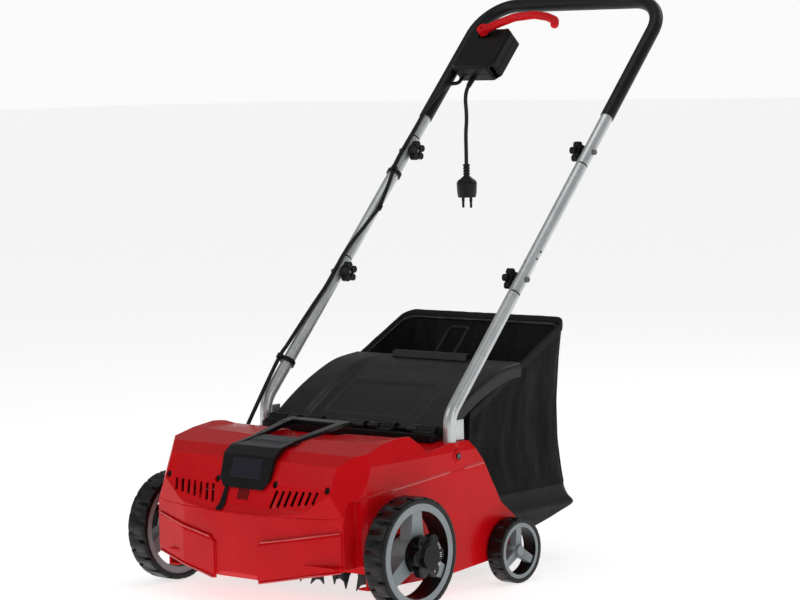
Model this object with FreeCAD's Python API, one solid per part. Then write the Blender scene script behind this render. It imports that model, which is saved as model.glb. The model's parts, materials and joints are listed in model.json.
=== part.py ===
"""Electric lawn dethatcher with folding handle, deflector lid and grass bag.

Axes: +X to the right seen from the front, +Y to the rear where the operator walks, +Z up.
Nodes named right are on the +X side.
All outlines are written from the front axle (Y = 0) and the floor (Z = 0); everything is moved
along Y as it is saved, so that the file's origin is under the middle of the whole machine.
"""
import FreeCAD, Part
import math
import os

V = FreeCAD.Vector
X_AXIS = V(1, 0, 0)

# ---- driving dimensions, mm -------------------------------------------------------------
GAP = 0.3                   # air between pieces that move past each other
FIT = 0.05                  # radial clearance of a running fit

FRONT_R = 95.0              # front wheel
FRONT_FACE_X = 294.0
FRONT_WIDTH = 42.0
REAR_R = 56.0               # rear wheel
REAR_FACE_X = 264.0
REAR_WIDTH = 31.0
REAR_Y = 302.0
ECCENTRIC = 8.0             # wheel centre below the depth adjuster's pivot
STUB_R = 12.0               # adjuster stub that the front wheel turns on

BODY_X = 230.0              # half width over the side panels
RECESS_X = 213.0            # half width in front of the front wheels
WALL = 3.0
NOSE_Y = -127.0             # foremost point of the bumper
NOSE_CENTRE_X = 50.0        # half width of the middle of the bumper
BLOCK_PROUD = 3.0           # how far the bumper blocks stand out
LIP_Z = 46.0
LIP_OUTER_Z = 76.0          # the lip rises to this at the sides of the nose
LEDGE_DEPTH = 2.4           # slanted edges along the top and foot of each bumper block
LEDGE_HEIGHT = 6.0
FACET = ((216, -95, 150), (230, -37, 255), (190, -83, 241))    # plane of the cut-off front corner
SPLIT_FRONT_Z = 155.0       # seam between lower housing and cowl at the nose
SPLIT_SIDE_Z = 189.0        # the same at the front of the side panels
SPLIT_REAR_Z = 214.0
PANEL_FRONT_Y = -66.0
HOOD_REAR_Y = 88.0
DECK_Z = 255.0
HOOD_Z = 270.0
RIDGE_Z = 278.0

DRUM_Y = 70.0
DRUM_Z = 66.0
DRUM_HALF = 155.0           # half the working width
BLADE_R = 61.0
MOTOR_Y = -42.0
MOTOR_Z = 178.0
MOTOR_R = 42.0
BELT_X = -185.0
BELT_WIDTH = 12.0
CHAMBER_X = -168.0          # wall between the drum and the belt
DRUM_PULLEY_R = 30.0
MOTOR_PULLEY_R = 12.0

LEG_X = 213.0               # handle legs
LEG_Y = 177.0
LEG_FOOT_Z = 205.0
BEND_Z = 298.5
BEND_R = 48.0
ARM_ANGLE = 47.0            # slope of the handle above the floor
TUBE_R = 11.0
TUBE_WALL = 1.5
HINGE_1 = 297.0             # along the arm from the bend
HINGE_2 = 588.0
LAP = 30.0                  # half length of a lap joint
LAP_CLEAR = 33.0            # full round tube starts this far from a hinge
BOW_TOP = 955.0
BOW_CORNER = 75.0
GRIP_START = 670.0
GRIP_R = 12.6
BOLT_R = 3.0
KNOB_X = 199.0              # outer face of a star knob
KNOB_THICK = 15.0
KNOB_R = 19.0

BOX_X = (-199.5, -100.0)    # switch box
BOX_S = (777.0, 879.0)
BOX_P = (-20.0, 23.0)
BAIL_PIVOT = (-160.0, 866.0)
BAIL_P = 29.0
BUTTON_X = -184.0
BUTTON_R = 8.0
BUTTON_P = 10.5
BUTTON_TRAVEL = 5.0
GLAND_X = -160.0            # where the plug lead leaves the box
CABLE_IN_X = -188.0         # where the motor cable enters it

LID_AXIS_Y = 172.0
LID_AXIS_Z = 272.0
LID_HALF = 194.0
LID_REAR_Y = 398.0
LID_WALL = 3.0
HINGE_ROD_R = 4.0
HINGE_BARREL_R = 9.0
KNUCKLES = ((-150, -128), (-30, 30), (128, 150))                      # on the lid
HINGE_BLOCKS = ((-192, -152), (-100, -70), (70, 100), (152, 192))     # on the body

BAG_HALF = 187.0
BAG_FRONT_Y = 262.0
BAG_REAR_Y = 552.0
BAG_BASE_Z = 66.0
BAG_RIM_FRONT_Z = 293.5
BAG_RIM_REAR_Z = 434.0
BAG_RIM_REAR_Y = 541.0
BAG_SPLIT_Z = 138.0         # seam between base and cloth
BAG_WALL = 4.0
RIM_WIRE_R = 2.5
RIM_DROP = 6.0              # wire below the rim's edge
LOOP_Y = 412.0              # cross wire that the carrying loop hooks round

CABLE_R = 3.6
LEAD_R = 3.7

BOW_REACH = BOW_TOP * math.cos(math.radians(ARM_ANGLE))
GRIP_REAR_Y = LEG_Y + BOW_REACH + GRIP_R
CENTRE_Y = (NOSE_Y - BLOCK_PROUD + GRIP_REAR_Y) / 2


# ---- helpers ----------------------------------------------------------------------------
def box(x, y, z):
    """Block between two x, two y and two z values."""
    return Part.makeBox(x[1] - x[0], y[1] - y[0], z[1] - z[0], V(x[0], y[0], z[0]))


def rod(radius, start, end):
    """Round bar between two points."""
    start, end = V(*start), V(*end)
    return Part.makeCylinder(radius, (end - start).Length, start, end - start)


def ring(outer, inner, start, end):
    """Round bar with a round hole through it."""
    return rod(outer, start, end).cut(rod(inner, start, end))


def outline(points):
    """Closed wire through points."""
    return Part.makePolygon([V(*p) for p in points] + [V(*points[0])])


def prism_x(yz, x):
    """Side-view outline, filled from one x to the other."""
    face = Part.Face(outline([(x[0], y, z) for y, z in yz]))
    return face.extrude(V(x[1] - x[0], 0, 0))


def prism_y(xz, y):
    """Front-view outline, filled from one y to the other."""
    face = Part.Face(outline([(px, y[0], z) for px, z in xz]))
    return face.extrude(V(0, y[1] - y[0], 0))


def prism_z(xy, z):
    """Plan outline, filled from one z to the other."""
    face = Part.Face(outline([(px, y, z[0]) for px, y in xy]))
    return face.extrude(V(0, 0, z[1] - z[0]))


def both(points):
    """Right-hand half of a plan or front outline, completed with its mirror image."""
    return points + [(-x, other) for x, other in reversed(points) if x != 0]


def mirrored(shape):
    """Left-hand copy."""
    return shape.mirror(V(0, 0, 0), X_AXIS)


def union(shapes):
    """One solid from several."""
    return shapes[0].multiFuse(shapes[1:]).removeSplitter()


def bent_path(points, radii):
    """Straight runs joined by tangent arcs; one radius for each inner point."""
    edges = []
    last = V(*points[0])
    for i, radius in enumerate(radii, start=1):
        before, here, after = (V(*points[k]) for k in (i - 1, i, i + 1))
        back = (before - here).normalize()
        ahead = (after - here).normalize()
        half = back.getAngle(ahead) / 2
        reach = radius / math.tan(half)
        first = here + back * reach
        third = here + ahead * reach
        middle_way = (back + ahead).normalize()
        centre = here + middle_way * (radius / math.sin(half))
        second = centre - middle_way * radius
        if (first - last).Length > 1e-6:
            edges.append(Part.LineSegment(last, first).toShape())
        edges.append(Part.Arc(first, second, third).toShape())
        last = third
    edges.append(Part.LineSegment(last, V(*points[-1])).toShape())
    return Part.Wire(edges)


def swept(path, radius):
    """Round bar along a path."""
    start = path.Edges[0].Vertexes[0].Point
    if (start - path.Edges[0].valueAt(path.Edges[0].FirstParameter)).Length > 1e-6:
        start = path.Edges[0].Vertexes[-1].Point
    direction = path.Edges[0].tangentAt(path.Edges[0].FirstParameter)
    circle = Part.Wire(Part.makeCircle(radius, start, direction))
    return path.makePipeShell([circle], True, False)


def pipe(points, radii, outer, inner=None):
    """Tube with straight runs and bends."""
    path = bent_path(points, radii)
    solid = swept(path, outer)
    if inner:
        solid = solid.cut(swept(path, inner))
    return solid


def arm_point(x, along, out=0.0):
    """Point in the handle: along the arm from the bend, out towards the front and up."""
    slope = math.radians(ARM_ANGLE)
    y = LEG_Y + along * math.cos(slope) - out * math.sin(slope)
    return (x, y, BEND_Z + along * math.sin(slope) + out * math.cos(slope))


def on_arm(shape):
    """Stand a shape drawn flat (x, along, out) up into the handle's plane."""
    shape = shape.copy()
    shape.rotate(V(0, 0, 0), X_AXIS, ARM_ANGLE)
    shape.translate(V(0, LEG_Y, BEND_Z))
    return shape


def save(name, shape):
    """Check a node and write its STEP file about the machine's middle."""
    shape = shape.copy()
    shape.translate(V(0, -CENTRE_Y, 0))
    if not shape.isValid() or not shape.Solids:
        raise RuntimeError(name + " is not a valid solid")
    shape.exportStep("parts/" + name + ".step")
    print(name, len(shape.Solids), "solid(s)", round(shape.Volume / 1000, 1), "cm3")


# ---- red shells -------------------------------------------------------------------------
SIDE_OUTLINE = [(-119, LIP_Z), (NOSE_Y, 56), (NOSE_Y, 112), (-125, SPLIT_FRONT_Z), (-113, 168),
                (-99, 205), (-83, 241), (-58, 257), (0, 272), (45, RIDGE_Z), (70, 276),
                (HOOD_REAR_Y, 262), (102, 246), (160, DECK_Z), (213, DECK_Z), (249, SPLIT_REAR_Z),
                (292, 140), (328, 112), (334, 90), (326, 42), (250, 42), (150, 34), (-70, 38)]
PLAN_OUTLINE = both([(0, NOSE_Y), (NOSE_CENTRE_X, NOSE_Y + 1), (130, -117), (RECESS_X, -95),
                     (222, -78), (BODY_X, -55), (BODY_X, 340)])
FRONT_OUTLINE = both([(0, 20), (BODY_X, 20), (BODY_X, 240), (216, RIDGE_Z), (190, 272), (78, HOOD_Z),
                      (0, HOOD_Z)])
DISH_Z = 260.0              # floor of the hollow under the carry handle
SPLIT_OUTLINE = [(-200, SPLIT_FRONT_Z), (-100, SPLIT_FRONT_Z + 3), (PANEL_FRONT_Y - 8, SPLIT_SIDE_Z),
                 (249, SPLIT_REAR_Z), (400, SPLIT_REAR_Z), (400, 0), (-200, 0)]


def shrunk(points, by):
    """Outline moved inwards."""
    wire = outline([(x, y, 0) for x, y in points])
    inner = wire.makeOffset2D(-by, 2)
    return [(v.Point.x, v.Point.y) for v in inner.OrderedVertexes]


def corner_facet(inset):
    """Room outside the slanted facet at the right front corner of the hood."""
    one, two, three = [V(*point) for point in FACET]
    along = (two - one).normalize()
    normal = (two - one).cross(three - one).normalize()
    across = normal.cross(along)
    centre = one - normal * inset
    reach = ((-200, -150), (200, -150), (200, 150), (-200, 150))
    corners = [centre + along * a + across * b for a, b in reach]
    return Part.Face(Part.makePolygon(corners + corners[:1])).extrude(normal * 120)


def body_envelope(inset):
    """Filled form of the machine's body, drawn in by an even inset."""
    side = prism_x(shrunk(SIDE_OUTLINE, inset) if inset else SIDE_OUTLINE, (-BODY_X, BODY_X))
    plan = prism_z(shrunk(PLAN_OUTLINE, inset) if inset else PLAN_OUTLINE, (0, 300))
    front = prism_y(shrunk(FRONT_OUTLINE, inset) if inset else FRONT_OUTLINE, (-150, 350))
    dish = prism_y([(-78 - inset, 300), (-60 - inset, DISH_Z - inset), (60 + inset, DISH_Z - inset),
                    (78 + inset, 300)], (-66 - inset, 120))
    facet = corner_facet(inset)
    return side.common(plan).common(front).cut(dish).cut(facet).cut(mirrored(facet))


def wheel_recess(inset):
    """Space in front of each side panel, where the body is narrower."""
    room = prism_x([(-160, 0), (PANEL_FRONT_Y + inset, 0), (PANEL_FRONT_Y + inset, SPLIT_SIDE_Z - 2),
                    (-160, SPLIT_SIDE_Z - 8)], (RECESS_X - inset, BODY_X + 20))
    return room


def body_shell():
    """Thin-walled body, open below and at the rear outlet."""
    solid = body_envelope(0.01)
    inner = body_envelope(WALL)
    for make in (wheel_recess, lambda inset: mirrored(wheel_recess(inset))):
        solid = solid.cut(make(0))
        inner = inner.cut(make(WALL))
    shell = solid.cut(inner)
    opening = box((-RECESS_X + 4, RECESS_X - 4), (-116, 345), (0, 52))
    outlet = prism_x([(140, 40), (345, 40), (345, 245), (205, 245), (140, 190)],
                     (-BODY_X + 18, BODY_X - 18))
    return shell.cut(opening).cut(outlet)


def ledge_cutter(low, high, side, run):
    """Wedge that slants a block's top (side -1) or foot (side 1) along one run of its face."""
    places = ((NOSE_CENTRE_X - 1, NOSE_Y - BLOCK_PROUD), (130, -121), (RECESS_X + 1, -97.9))[run:run + 2]
    rise = (high[1] - low[1]) / (high[0] - low[0])
    wires = []
    for x, y in places:
        z = low[1] + rise * (x - low[0])
        wires.append(outline([(x, y + LEDGE_DEPTH, z - side * 0.5), (x, y - 1, z - side * 0.5),
                              (x, y - 1, z + side * LEDGE_HEIGHT), (x, y, z + side * LEDGE_HEIGHT)]))
    return Part.makeLoft(wires, True, True)


def bumper_blocks():
    """Two proud blocks across the nose, one each side of its middle."""
    block = prism_z([(NOSE_CENTRE_X, NOSE_Y + 4), (NOSE_CENTRE_X, NOSE_Y - BLOCK_PROUD), (130, -121),
                     (RECESS_X - 3, -99), (RECESS_X - 3, -91), (130, -112)], (LIP_Z - 4, 150))
    face = prism_y([(NOSE_CENTRE_X, LIP_Z - 4), (RECESS_X - 3, LIP_OUTER_Z - 4), (RECESS_X - 3, 138),
                    (NOSE_CENTRE_X + 8, 112), (NOSE_CENTRE_X, 104)], (-140, -80))
    block = block.common(face)
    ledges = []
    for low, high, side in (((NOSE_CENTRE_X, LIP_Z - 4), (RECESS_X - 3, LIP_OUTER_Z - 4), 1),
                            ((NOSE_CENTRE_X + 8, 112), (RECESS_X - 3, 138), -1)):
        ledges += [ledge_cutter(low, high, side, run) for run in (0, 1)]
    block = block.cut(union(ledges))
    return [block, mirrored(block)]


def lower_housing():
    """Lower half of the red body with the drum chamber, wheel bosses and leg sockets."""
    below = prism_x(SPLIT_OUTLINE, (-BODY_X - 1, BODY_X + 1))
    shell = body_shell().common(below)
    roof = rod(BLADE_R + 9, (CHAMBER_X, DRUM_Y, DRUM_Z), (RECESS_X - 2, DRUM_Y, DRUM_Z))
    roof = roof.cut(rod(BLADE_R + 6, (CHAMBER_X + WALL, DRUM_Y, DRUM_Z), (RECESS_X, DRUM_Y, DRUM_Z)))
    roof = roof.cut(rod(15, (-RECESS_X, DRUM_Y, DRUM_Z), (0, DRUM_Y, DRUM_Z)))
    roof = roof.common(box((-RECESS_X, RECESS_X), (-20, 150), (DRUM_Z - 16, 150)))
    floor = box((CHAMBER_X, RECESS_X - 2), (-118, 3), (DRUM_Z + 12, DRUM_Z + 15))
    floor = floor.cut(rod(BLADE_R + 7, (-RECESS_X, DRUM_Y, DRUM_Z), (RECESS_X, DRUM_Y, DRUM_Z)))
    pivot_z = FRONT_R + ECCENTRIC
    sides = []
    for side in (1, -1):
        sides.append(rod(18, (side * 196, 0, pivot_z), (side * (BODY_X - 1), 0, pivot_z)))
        sides.append(rod(12.5, (side * 205, REAR_Y, REAR_R), (side * (BODY_X - 1), REAR_Y, REAR_R)))
        sides.append(box(sorted((side * 206, side * 213)), (DRUM_Y - 26, DRUM_Y + 26), (42, 150)))
        sides.append(box(sorted((side * 206, side * (BODY_X - 1))), (DRUM_Y - 26, DRUM_Y + 26), (144, 150)))
    rise = (LIP_OUTER_Z - LIP_Z) / (RECESS_X - NOSE_CENTRE_X)
    outer_lip = LIP_Z + rise * (260 - NOSE_CENTRE_X)
    beneath = prism_y([(NOSE_CENTRE_X, 20), (NOSE_CENTRE_X, LIP_Z), (260, outer_lip), (260, 20)],
                      (-160, PANEL_FRONT_Y + 8))
    shell = shell.cut(beneath).cut(mirrored(beneath))
    shell = union([shell, roof, floor] + sides + bumper_blocks())
    for side in (1, -1):
        shell = shell.cut(rod(10 + FIT, (side * 190, 0, pivot_z), (side * 240, 0, pivot_z)))
        shell = shell.cut(rod(5 + FIT, (side * 200, REAR_Y, REAR_R), (side * 240, REAR_Y, REAR_R)))
        shell = shell.cut(rod(16, (side * 200, DRUM_Y, DRUM_Z), (side * 216, DRUM_Y, DRUM_Z)))
    return shell


def vent_cutters():
    """Seven slanted slots on each side of the nose and six fine ones in its middle."""
    cutters = []
    for i in range(7):
        x = 70 + i * 14.5
        slot = box((x - 3.1, x + 3.1), (-150, -80), (167 + 2.2 * i, 197 + 0.6 * i))
        slot.rotate(V(x, -110, 182), V(0, 1, 0), 14)
        cutters += [slot, mirrored(slot)]
    for i in range(6):
        x = -11 + i * 4.4
        cutters.append(box((x - 0.9, x + 0.9), (-150, -104), (176, 198)))
    for x, z in ((66, 205), (182, 204)):
        hole = rod(6, (x, -140, z), (x, -84, z))
        cutters += [hole, mirrored(hole)]
    return cutters


def top_cowl():
    """Upper half of the red body: hood, air slots, screw wells and sockets for the legs."""
    below = prism_x(SPLIT_OUTLINE, (-BODY_X - 1, BODY_X + 1))
    shell = body_shell().cut(below)
    sockets = []
    for side in (1, -1):
        foot = ring(TUBE_R + 3.5, TUBE_R + FIT, (side * LEG_X, LEG_Y, 222), (side * LEG_X, LEG_Y, DECK_Z - 1))
        sockets.append(foot.common(box((-BODY_X + 1, BODY_X - 1), (100, 240), (200, 300))))
    shell = union([shell] + sockets)
    for side in (1, -1):
        shell = shell.cut(rod(TUBE_R + FIT, (side * LEG_X, LEG_Y, 200), (side * LEG_X, LEG_Y, 300)))
        shell = shell.cut(rod(2.6, (side * 200, LEG_Y, 232), (side * 240, LEG_Y, 232)))
    cable_x, cable_y = CABLE_EXIT[0], CABLE_EXIT[1]
    shell = shell.cut(rod(6.1, (cable_x, cable_y, 230), (cable_x, cable_y, 262)))
    for cutter in vent_cutters():
        shell = shell.cut(cutter)
    return shell


# ---- carry handle, motor and belt -------------------------------------------------------
HANDLE_TOP = [(-108, 195), (-91, 249), (-72, 263), (-10, 274), (70, 288), (92, 290)]
HANDLE_UNDER = [(92, 281), (70, 279), (-8, 268.5), (-58, 260.5), (-84, 242), (-99.5, 205.3), (-103.5, 195)]


def carry_handle():
    """Front plate running back over the hood into two arms and a cross bar."""
    body = prism_x(HANDLE_TOP + HANDLE_UNDER, (-72, 72))
    plan = prism_z([(-53, -120), (53, -120), (58, -88), (55, -30), (72, 94), (-72, 94), (-55, -30),
                    (-58, -88)], (150, 320))
    window = prism_z([(-43, -8), (43, -8), (51, 72), (-51, 72)], (150, 320))
    front = prism_y(both([(0, 194), (43, 194), (59, 212), (80, 320), (0, 320)]), (-130, 120))
    pocket = box((-45, 45), (-66, -8), (262.5, 300))
    badge = prism_x([(-100.2, 212), (-89.9, 245), (-140, 245), (-140, 212)], (-35, 35))
    return body.common(plan).common(front).cut(window).cut(pocket).cut(badge)


def badge_plate():
    """Plain dark plate let into the handle's front."""
    return prism_x([(-102.8, 212.4), (-92.6, 244.6), (-90.1, 244.6), (-100.4, 212.4)], (-34.5, 34.5))


def handle_insert():
    """Grey panel between the handle's arms, with a step across it."""
    return prism_x([(-65.5, 262.6), (-8.5, 262.6), (-8.5, 272), (-38, 268), (-38, 266.5), (-65.5, 264)],
                   (-44.5, 44.5))


def motor_can():
    """Motor body lying across the machine on its two feet."""
    can = rod(MOTOR_R, (-70, MOTOR_Y, MOTOR_Z), (70, MOTOR_Y, MOTOR_Z))
    bore = rod(24, (-66, MOTOR_Y, MOTOR_Z), (66, MOTOR_Y, MOTOR_Z))
    shaft_way = rod(6 + FIT, (-80, MOTOR_Y, MOTOR_Z), (80, MOTOR_Y, MOTOR_Z))
    feet = [box((x - 8, x + 8), (MOTOR_Y - 34, MOTOR_Y + 34), (DRUM_Z + 15, MOTOR_Z - 12)) for x in (-52, 52)]
    return union([can] + feet).cut(bore).cut(shaft_way)


def rotor():
    """Armature and its shaft."""
    core = rod(23.4, (-50, MOTOR_Y, MOTOR_Z), (50, MOTOR_Y, MOTOR_Z))
    shaft = rod(6, (-192, MOTOR_Y, MOTOR_Z), (104, MOTOR_Y, MOTOR_Z))
    return core.fuse(shaft)


def fan():
    """Cooling fan on the motor shaft: a disc with blades."""
    x = 82.0
    parts = [rod(30, (x, MOTOR_Y, MOTOR_Z), (x + 3, MOTOR_Y, MOTOR_Z)),
             rod(10, (x, MOTOR_Y, MOTOR_Z), (x + 16, MOTOR_Y, MOTOR_Z))]
    for i in range(9):
        blade = box((x + 2, x + 14), (MOTOR_Y + 8, MOTOR_Y + 29), (MOTOR_Z - 1.2, MOTOR_Z + 1.2))
        blade.rotate(V(x, MOTOR_Y, MOTOR_Z), X_AXIS, i * 40)
        parts.append(blade)
    return union(parts).cut(rod(6, (x - 1, MOTOR_Y, MOTOR_Z), (x + 20, MOTOR_Y, MOTOR_Z)))


def pulley(y, z, radius, bore):
    """Flanged belt pulley."""
    low, high = BELT_X - BELT_WIDTH / 2 - 1, BELT_X + BELT_WIDTH / 2 + 1
    parts = [rod(radius, (low, y, z), (high, y, z)),
             rod(radius + 3, (low - 1.5, y, z), (low, y, z)),
             rod(radius + 3, (high, y, z), (high + 1.5, y, z))]
    return union(parts).cut(rod(bore, (low - 5, y, z), (high + 5, y, z)))


def belt():
    """Belt round both pulleys."""
    start, end = V(0, MOTOR_Y, MOTOR_Z), V(0, DRUM_Y, DRUM_Z)
    run = end - start
    tilt = math.asin((DRUM_PULLEY_R - MOTOR_PULLEY_R) / run.Length)
    heading = math.atan2(run.z, run.y)

    def loop(extra):
        """Filled loop at a distance outside the pulleys."""
        corners = []
        for centre, radius, side in ((start, MOTOR_PULLEY_R, 1), (end, DRUM_PULLEY_R, 1),
                                     (end, DRUM_PULLEY_R, -1), (start, MOTOR_PULLEY_R, -1)):
            turn = heading + side * (math.pi / 2 + tilt)
            reach = radius + extra
            corners.append((centre.y + reach * math.cos(turn), centre.z + reach * math.sin(turn)))
        x = (BELT_X - BELT_WIDTH / 2, BELT_X + BELT_WIDTH / 2)
        straight = prism_x(corners, x)
        ends = [rod(r + extra, (x[0], c.y, c.z), (x[1], c.y, c.z))
                for c, r in ((start, MOTOR_PULLEY_R), (end, DRUM_PULLEY_R))]
        return union([straight] + ends)

    return loop(3.2).cut(loop(0.4))


# ---- drum -------------------------------------------------------------------------------
def drum_shaft():
    """Shaft through the drum, turned down for its bearings."""
    parts = [rod(14, (-DRUM_HALF, DRUM_Y, DRUM_Z), (DRUM_HALF, DRUM_Y, DRUM_Z)),
             rod(8, (-207.5, DRUM_Y, DRUM_Z), (207.5, DRUM_Y, DRUM_Z))]
    return union(parts)


def knife(x, turn):
    """Two-pointed steel knife plate round the drum."""
    profile = [(-15, 15), (-11, 34), (-17, 58), (-6, 50), (6, 50), (17, 58), (11, 34), (15, 15),
               (11, -34), (17, -58), (6, -50), (-6, -50), (-17, -58), (-11, -34), (-15, -15)]
    plate = prism_x([(DRUM_Y + a, DRUM_Z + b) for a, b in profile], (x - 1.25, x + 1.25))
    plate.rotate(V(0, DRUM_Y, DRUM_Z), X_AXIS, turn)
    return plate.cut(rod(14, (x - 5, DRUM_Y, DRUM_Z), (x + 5, DRUM_Y, DRUM_Z)))


def knives():
    """All knives, each turned a little further than the one before."""
    count = 16
    step = 2 * (DRUM_HALF - 12) / (count - 1)
    return Part.makeCompound([knife(-DRUM_HALF + 12 + i * step, 38 * i + 46) for i in range(count)])


def bearing(side):
    """Bearing in its housing plate."""
    x = sorted((side * 204, side * 212.8))
    plate = rod(15.9, (x[0], DRUM_Y, DRUM_Z), (x[1], DRUM_Y, DRUM_Z))
    return plate.cut(rod(8 + FIT, (x[0] - 1, DRUM_Y, DRUM_Z), (x[1] + 1, DRUM_Y, DRUM_Z)))


# ---- wheels, right-hand side ------------------------------------------------------------
def tyre(radius, rim_radius, face_x, width, y, lugs):
    """Tread ring with rounded shoulders and cross lugs."""
    inner_x = face_x - width
    outer = rod(radius, (inner_x, y, radius), (face_x, y, radius))
    outer = outer.makeFillet(radius * 0.05, [e for e in outer.Edges if e.Closed])
    ring_solid = outer.cut(rod(rim_radius, (inner_x - 1, y, radius), (face_x + 1, y, radius)))
    for i in range(lugs):
        for low, high, shift in ((inner_x - 2, inner_x + width * 0.36, 0),
                                 (face_x - width * 0.36, face_x + 2, 0.5)):
            cut = box((low, high), (y - radius * 0.035, y + radius * 0.035), (radius * 1.965, radius * 2.1))
            cut.rotate(V(0, y, radius), X_AXIS, (i + shift) * 360 / lugs)
            ring_solid = ring_solid.cut(cut)
    return ring_solid


def rim(radius, inner_radius, hub_radius, bore, face_x, width, y, well):
    """Rim ring and three spokes on a hub; a well in the face takes what holds the wheel on."""
    low, high = face_x - width + 3, face_x - 1
    ring_part = ring(radius, inner_radius, (low, y, 0), (high, y, 0))
    hub = rod(hub_radius, (low, y, 0), (high - 7, y, 0))
    parts = [ring_part, hub]
    for turn in (0, 120, 240):
        spoke = prism_x([(y - hub_radius * 0.62, 0), (y + hub_radius * 0.62, 0),
                         (y + radius * 0.135, inner_radius + 1), (y - radius * 0.135, inner_radius + 1)],
                        (low + 9, high - 4))
        spoke.rotate(V(0, y, 0), X_AXIS, turn)
        parts.append(spoke)
    solid = union(parts).cut(rod(bore, (low - 1, y, 0), (high + 1, y, 0)))
    return solid.cut(rod(well, (high - 6.5, y, 0), (high + 1, y, 0)))


def front_rim():
    solid = rim(FRONT_R * 0.893, FRONT_R * 0.76, 30, STUB_R + FIT, FRONT_FACE_X, FRONT_WIDTH, 0, 32.5)
    solid.translate(V(0, 0, FRONT_R))
    return solid


def rear_rim():
    solid = rim(REAR_R * 0.863, REAR_R * 0.73, 13, 5 + FIT, REAR_FACE_X, REAR_WIDTH, REAR_Y, 10)
    solid.translate(V(0, 0, REAR_R))
    return solid


def depth_adjuster():
    """Knob, eccentric stub and pivot in one: turning it lifts the wheel."""
    pivot_z = FRONT_R + ECCENTRIC
    parts = [rod(10, (192, 0, pivot_z), (232, 0, pivot_z)),
             rod(22, (BODY_X + 1, 0, pivot_z), (FRONT_FACE_X - FRONT_WIDTH + 2, 0, pivot_z)),
             rod(STUB_R, (240, 0, FRONT_R), (292, 0, FRONT_R)),
             rod(31, (FRONT_FACE_X - 6.5, 0, FRONT_R), (300, 0, FRONT_R)),
             rod(20, (300, 0, FRONT_R), (319, 0, FRONT_R))]
    for i in range(6):
        turn = math.radians(60 * i)
        y, z = 25 * math.cos(turn), FRONT_R + 25 * math.sin(turn)
        parts.append(rod(13, (300, y, z), (312, y, z)))
    return union(parts)


def rear_pin():
    """Shouldered pin that carries a rear wheel."""
    return union([rod(5, (205, REAR_Y, REAR_R), (REAR_FACE_X - 5, REAR_Y, REAR_R)),
                  rod(9, (REAR_FACE_X - 7, REAR_Y, REAR_R), (REAR_FACE_X - 1, REAR_Y, REAR_R))])


# ---- handle -----------------------------------------------------------------------------
CABLE_EXIT = (-198.0, 106.0, 247.0)      # where the motor cable enters the body


def lap(along, keep_outer):
    """What a lap joint at a hinge takes off the tube: the half in X that the other tube keeps."""
    half = 20.0
    x = (-half, GAP / 2) if keep_outer else (-GAP / 2, half)
    return on_arm(box((LEG_X + x[0], LEG_X + x[1]), along, (-half, half)))


def lower_tube():
    """Bent right-hand leg up to the lower hinge, ending in a half shell on the inner side.

    A flat bracket stands behind the leg.
    """
    points = [(LEG_X, LEG_Y, LEG_FOOT_Z), (LEG_X, LEG_Y, BEND_Z), arm_point(LEG_X, HINGE_1 + LAP)]
    bracket = box((LEG_X - 1.5, LEG_X + 1.5), (LEG_Y + TUBE_R - 1, LEG_Y + 36), (DECK_Z + 1, 290))
    tube = union([pipe(points, [BEND_R], TUBE_R, TUBE_R - TUBE_WALL), bracket])
    tube = tube.cut(lap((HINGE_1 - LAP_CLEAR, HINGE_1 + LAP + 1), False))
    tube = tube.cut(rod(BOLT_R + FIT, arm_point(180, HINGE_1), arm_point(230, HINGE_1)))
    return tube.cut(rod(2.6, (200, LEG_Y, 232), (240, LEG_Y, 232)))


def middle_tube():
    """Straight right-hand tube between the hinges: outer half shell below, inner one above."""
    points = [arm_point(LEG_X, HINGE_1 - LAP), arm_point(LEG_X, HINGE_2 + LAP)]
    tube = ring(TUBE_R, TUBE_R - TUBE_WALL, *points)
    tube = tube.cut(lap((HINGE_1 - LAP - 1, HINGE_1 + LAP_CLEAR), True))
    tube = tube.cut(lap((HINGE_2 - LAP_CLEAR, HINGE_2 + LAP + 1), False))
    for along in (HINGE_1, HINGE_2):
        tube = tube.cut(rod(BOLT_R + FIT, arm_point(180, along), arm_point(230, along)))
    for along in (HINGE_1 + 46, HINGE_1 + 62):
        tube = tube.cut(rod(2.5, arm_point(214, along), arm_point(230, along)))
    return tube


def upper_bow():
    """U-shaped upper tube with its cross bar at the top."""
    points = [arm_point(-LEG_X, HINGE_2 - LAP), arm_point(-LEG_X, BOW_TOP), arm_point(LEG_X, BOW_TOP),
              arm_point(LEG_X, HINGE_2 - LAP)]
    tube = pipe(points, [BOW_CORNER, BOW_CORNER], TUBE_R, TUBE_R - TUBE_WALL)
    taken = lap((HINGE_2 - LAP - 1, HINGE_2 + LAP_CLEAR), True)
    hole = rod(BOLT_R + FIT, arm_point(180, HINGE_2), arm_point(230, HINGE_2))
    for cut in (taken, mirrored(taken), hole, mirrored(hole)):
        tube = tube.cut(cut)
    return tube


def grip_sleeve():
    """Soft sleeve over the bow's arms and cross bar."""
    points = [arm_point(-LEG_X, GRIP_START), arm_point(-LEG_X, BOW_TOP), arm_point(LEG_X, BOW_TOP),
              arm_point(LEG_X, GRIP_START)]
    return pipe(points, [BOW_CORNER, BOW_CORNER], GRIP_R, TUBE_R)


def hinge_bolt(along):
    """Bolt through a hinge with its hexagon head outside."""
    shank = rod(BOLT_R, arm_point(KNOB_X - KNOB_THICK + 1, along), arm_point(LEG_X + TUBE_R + 1, along))
    centre = V(*arm_point(LEG_X + TUBE_R + GAP, along))
    turns = [math.pi / 3 * i for i in range(6)]
    corners = [centre + V(0, 5.5 * math.cos(turn), 5.5 * math.sin(turn)) for turn in turns]
    head = Part.Face(Part.makePolygon(corners + [corners[0]])).extrude(V(4, 0, 0))
    bolt = shank.fuse(head)
    return Part.makeCompound([bolt, mirrored(bolt)])


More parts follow.
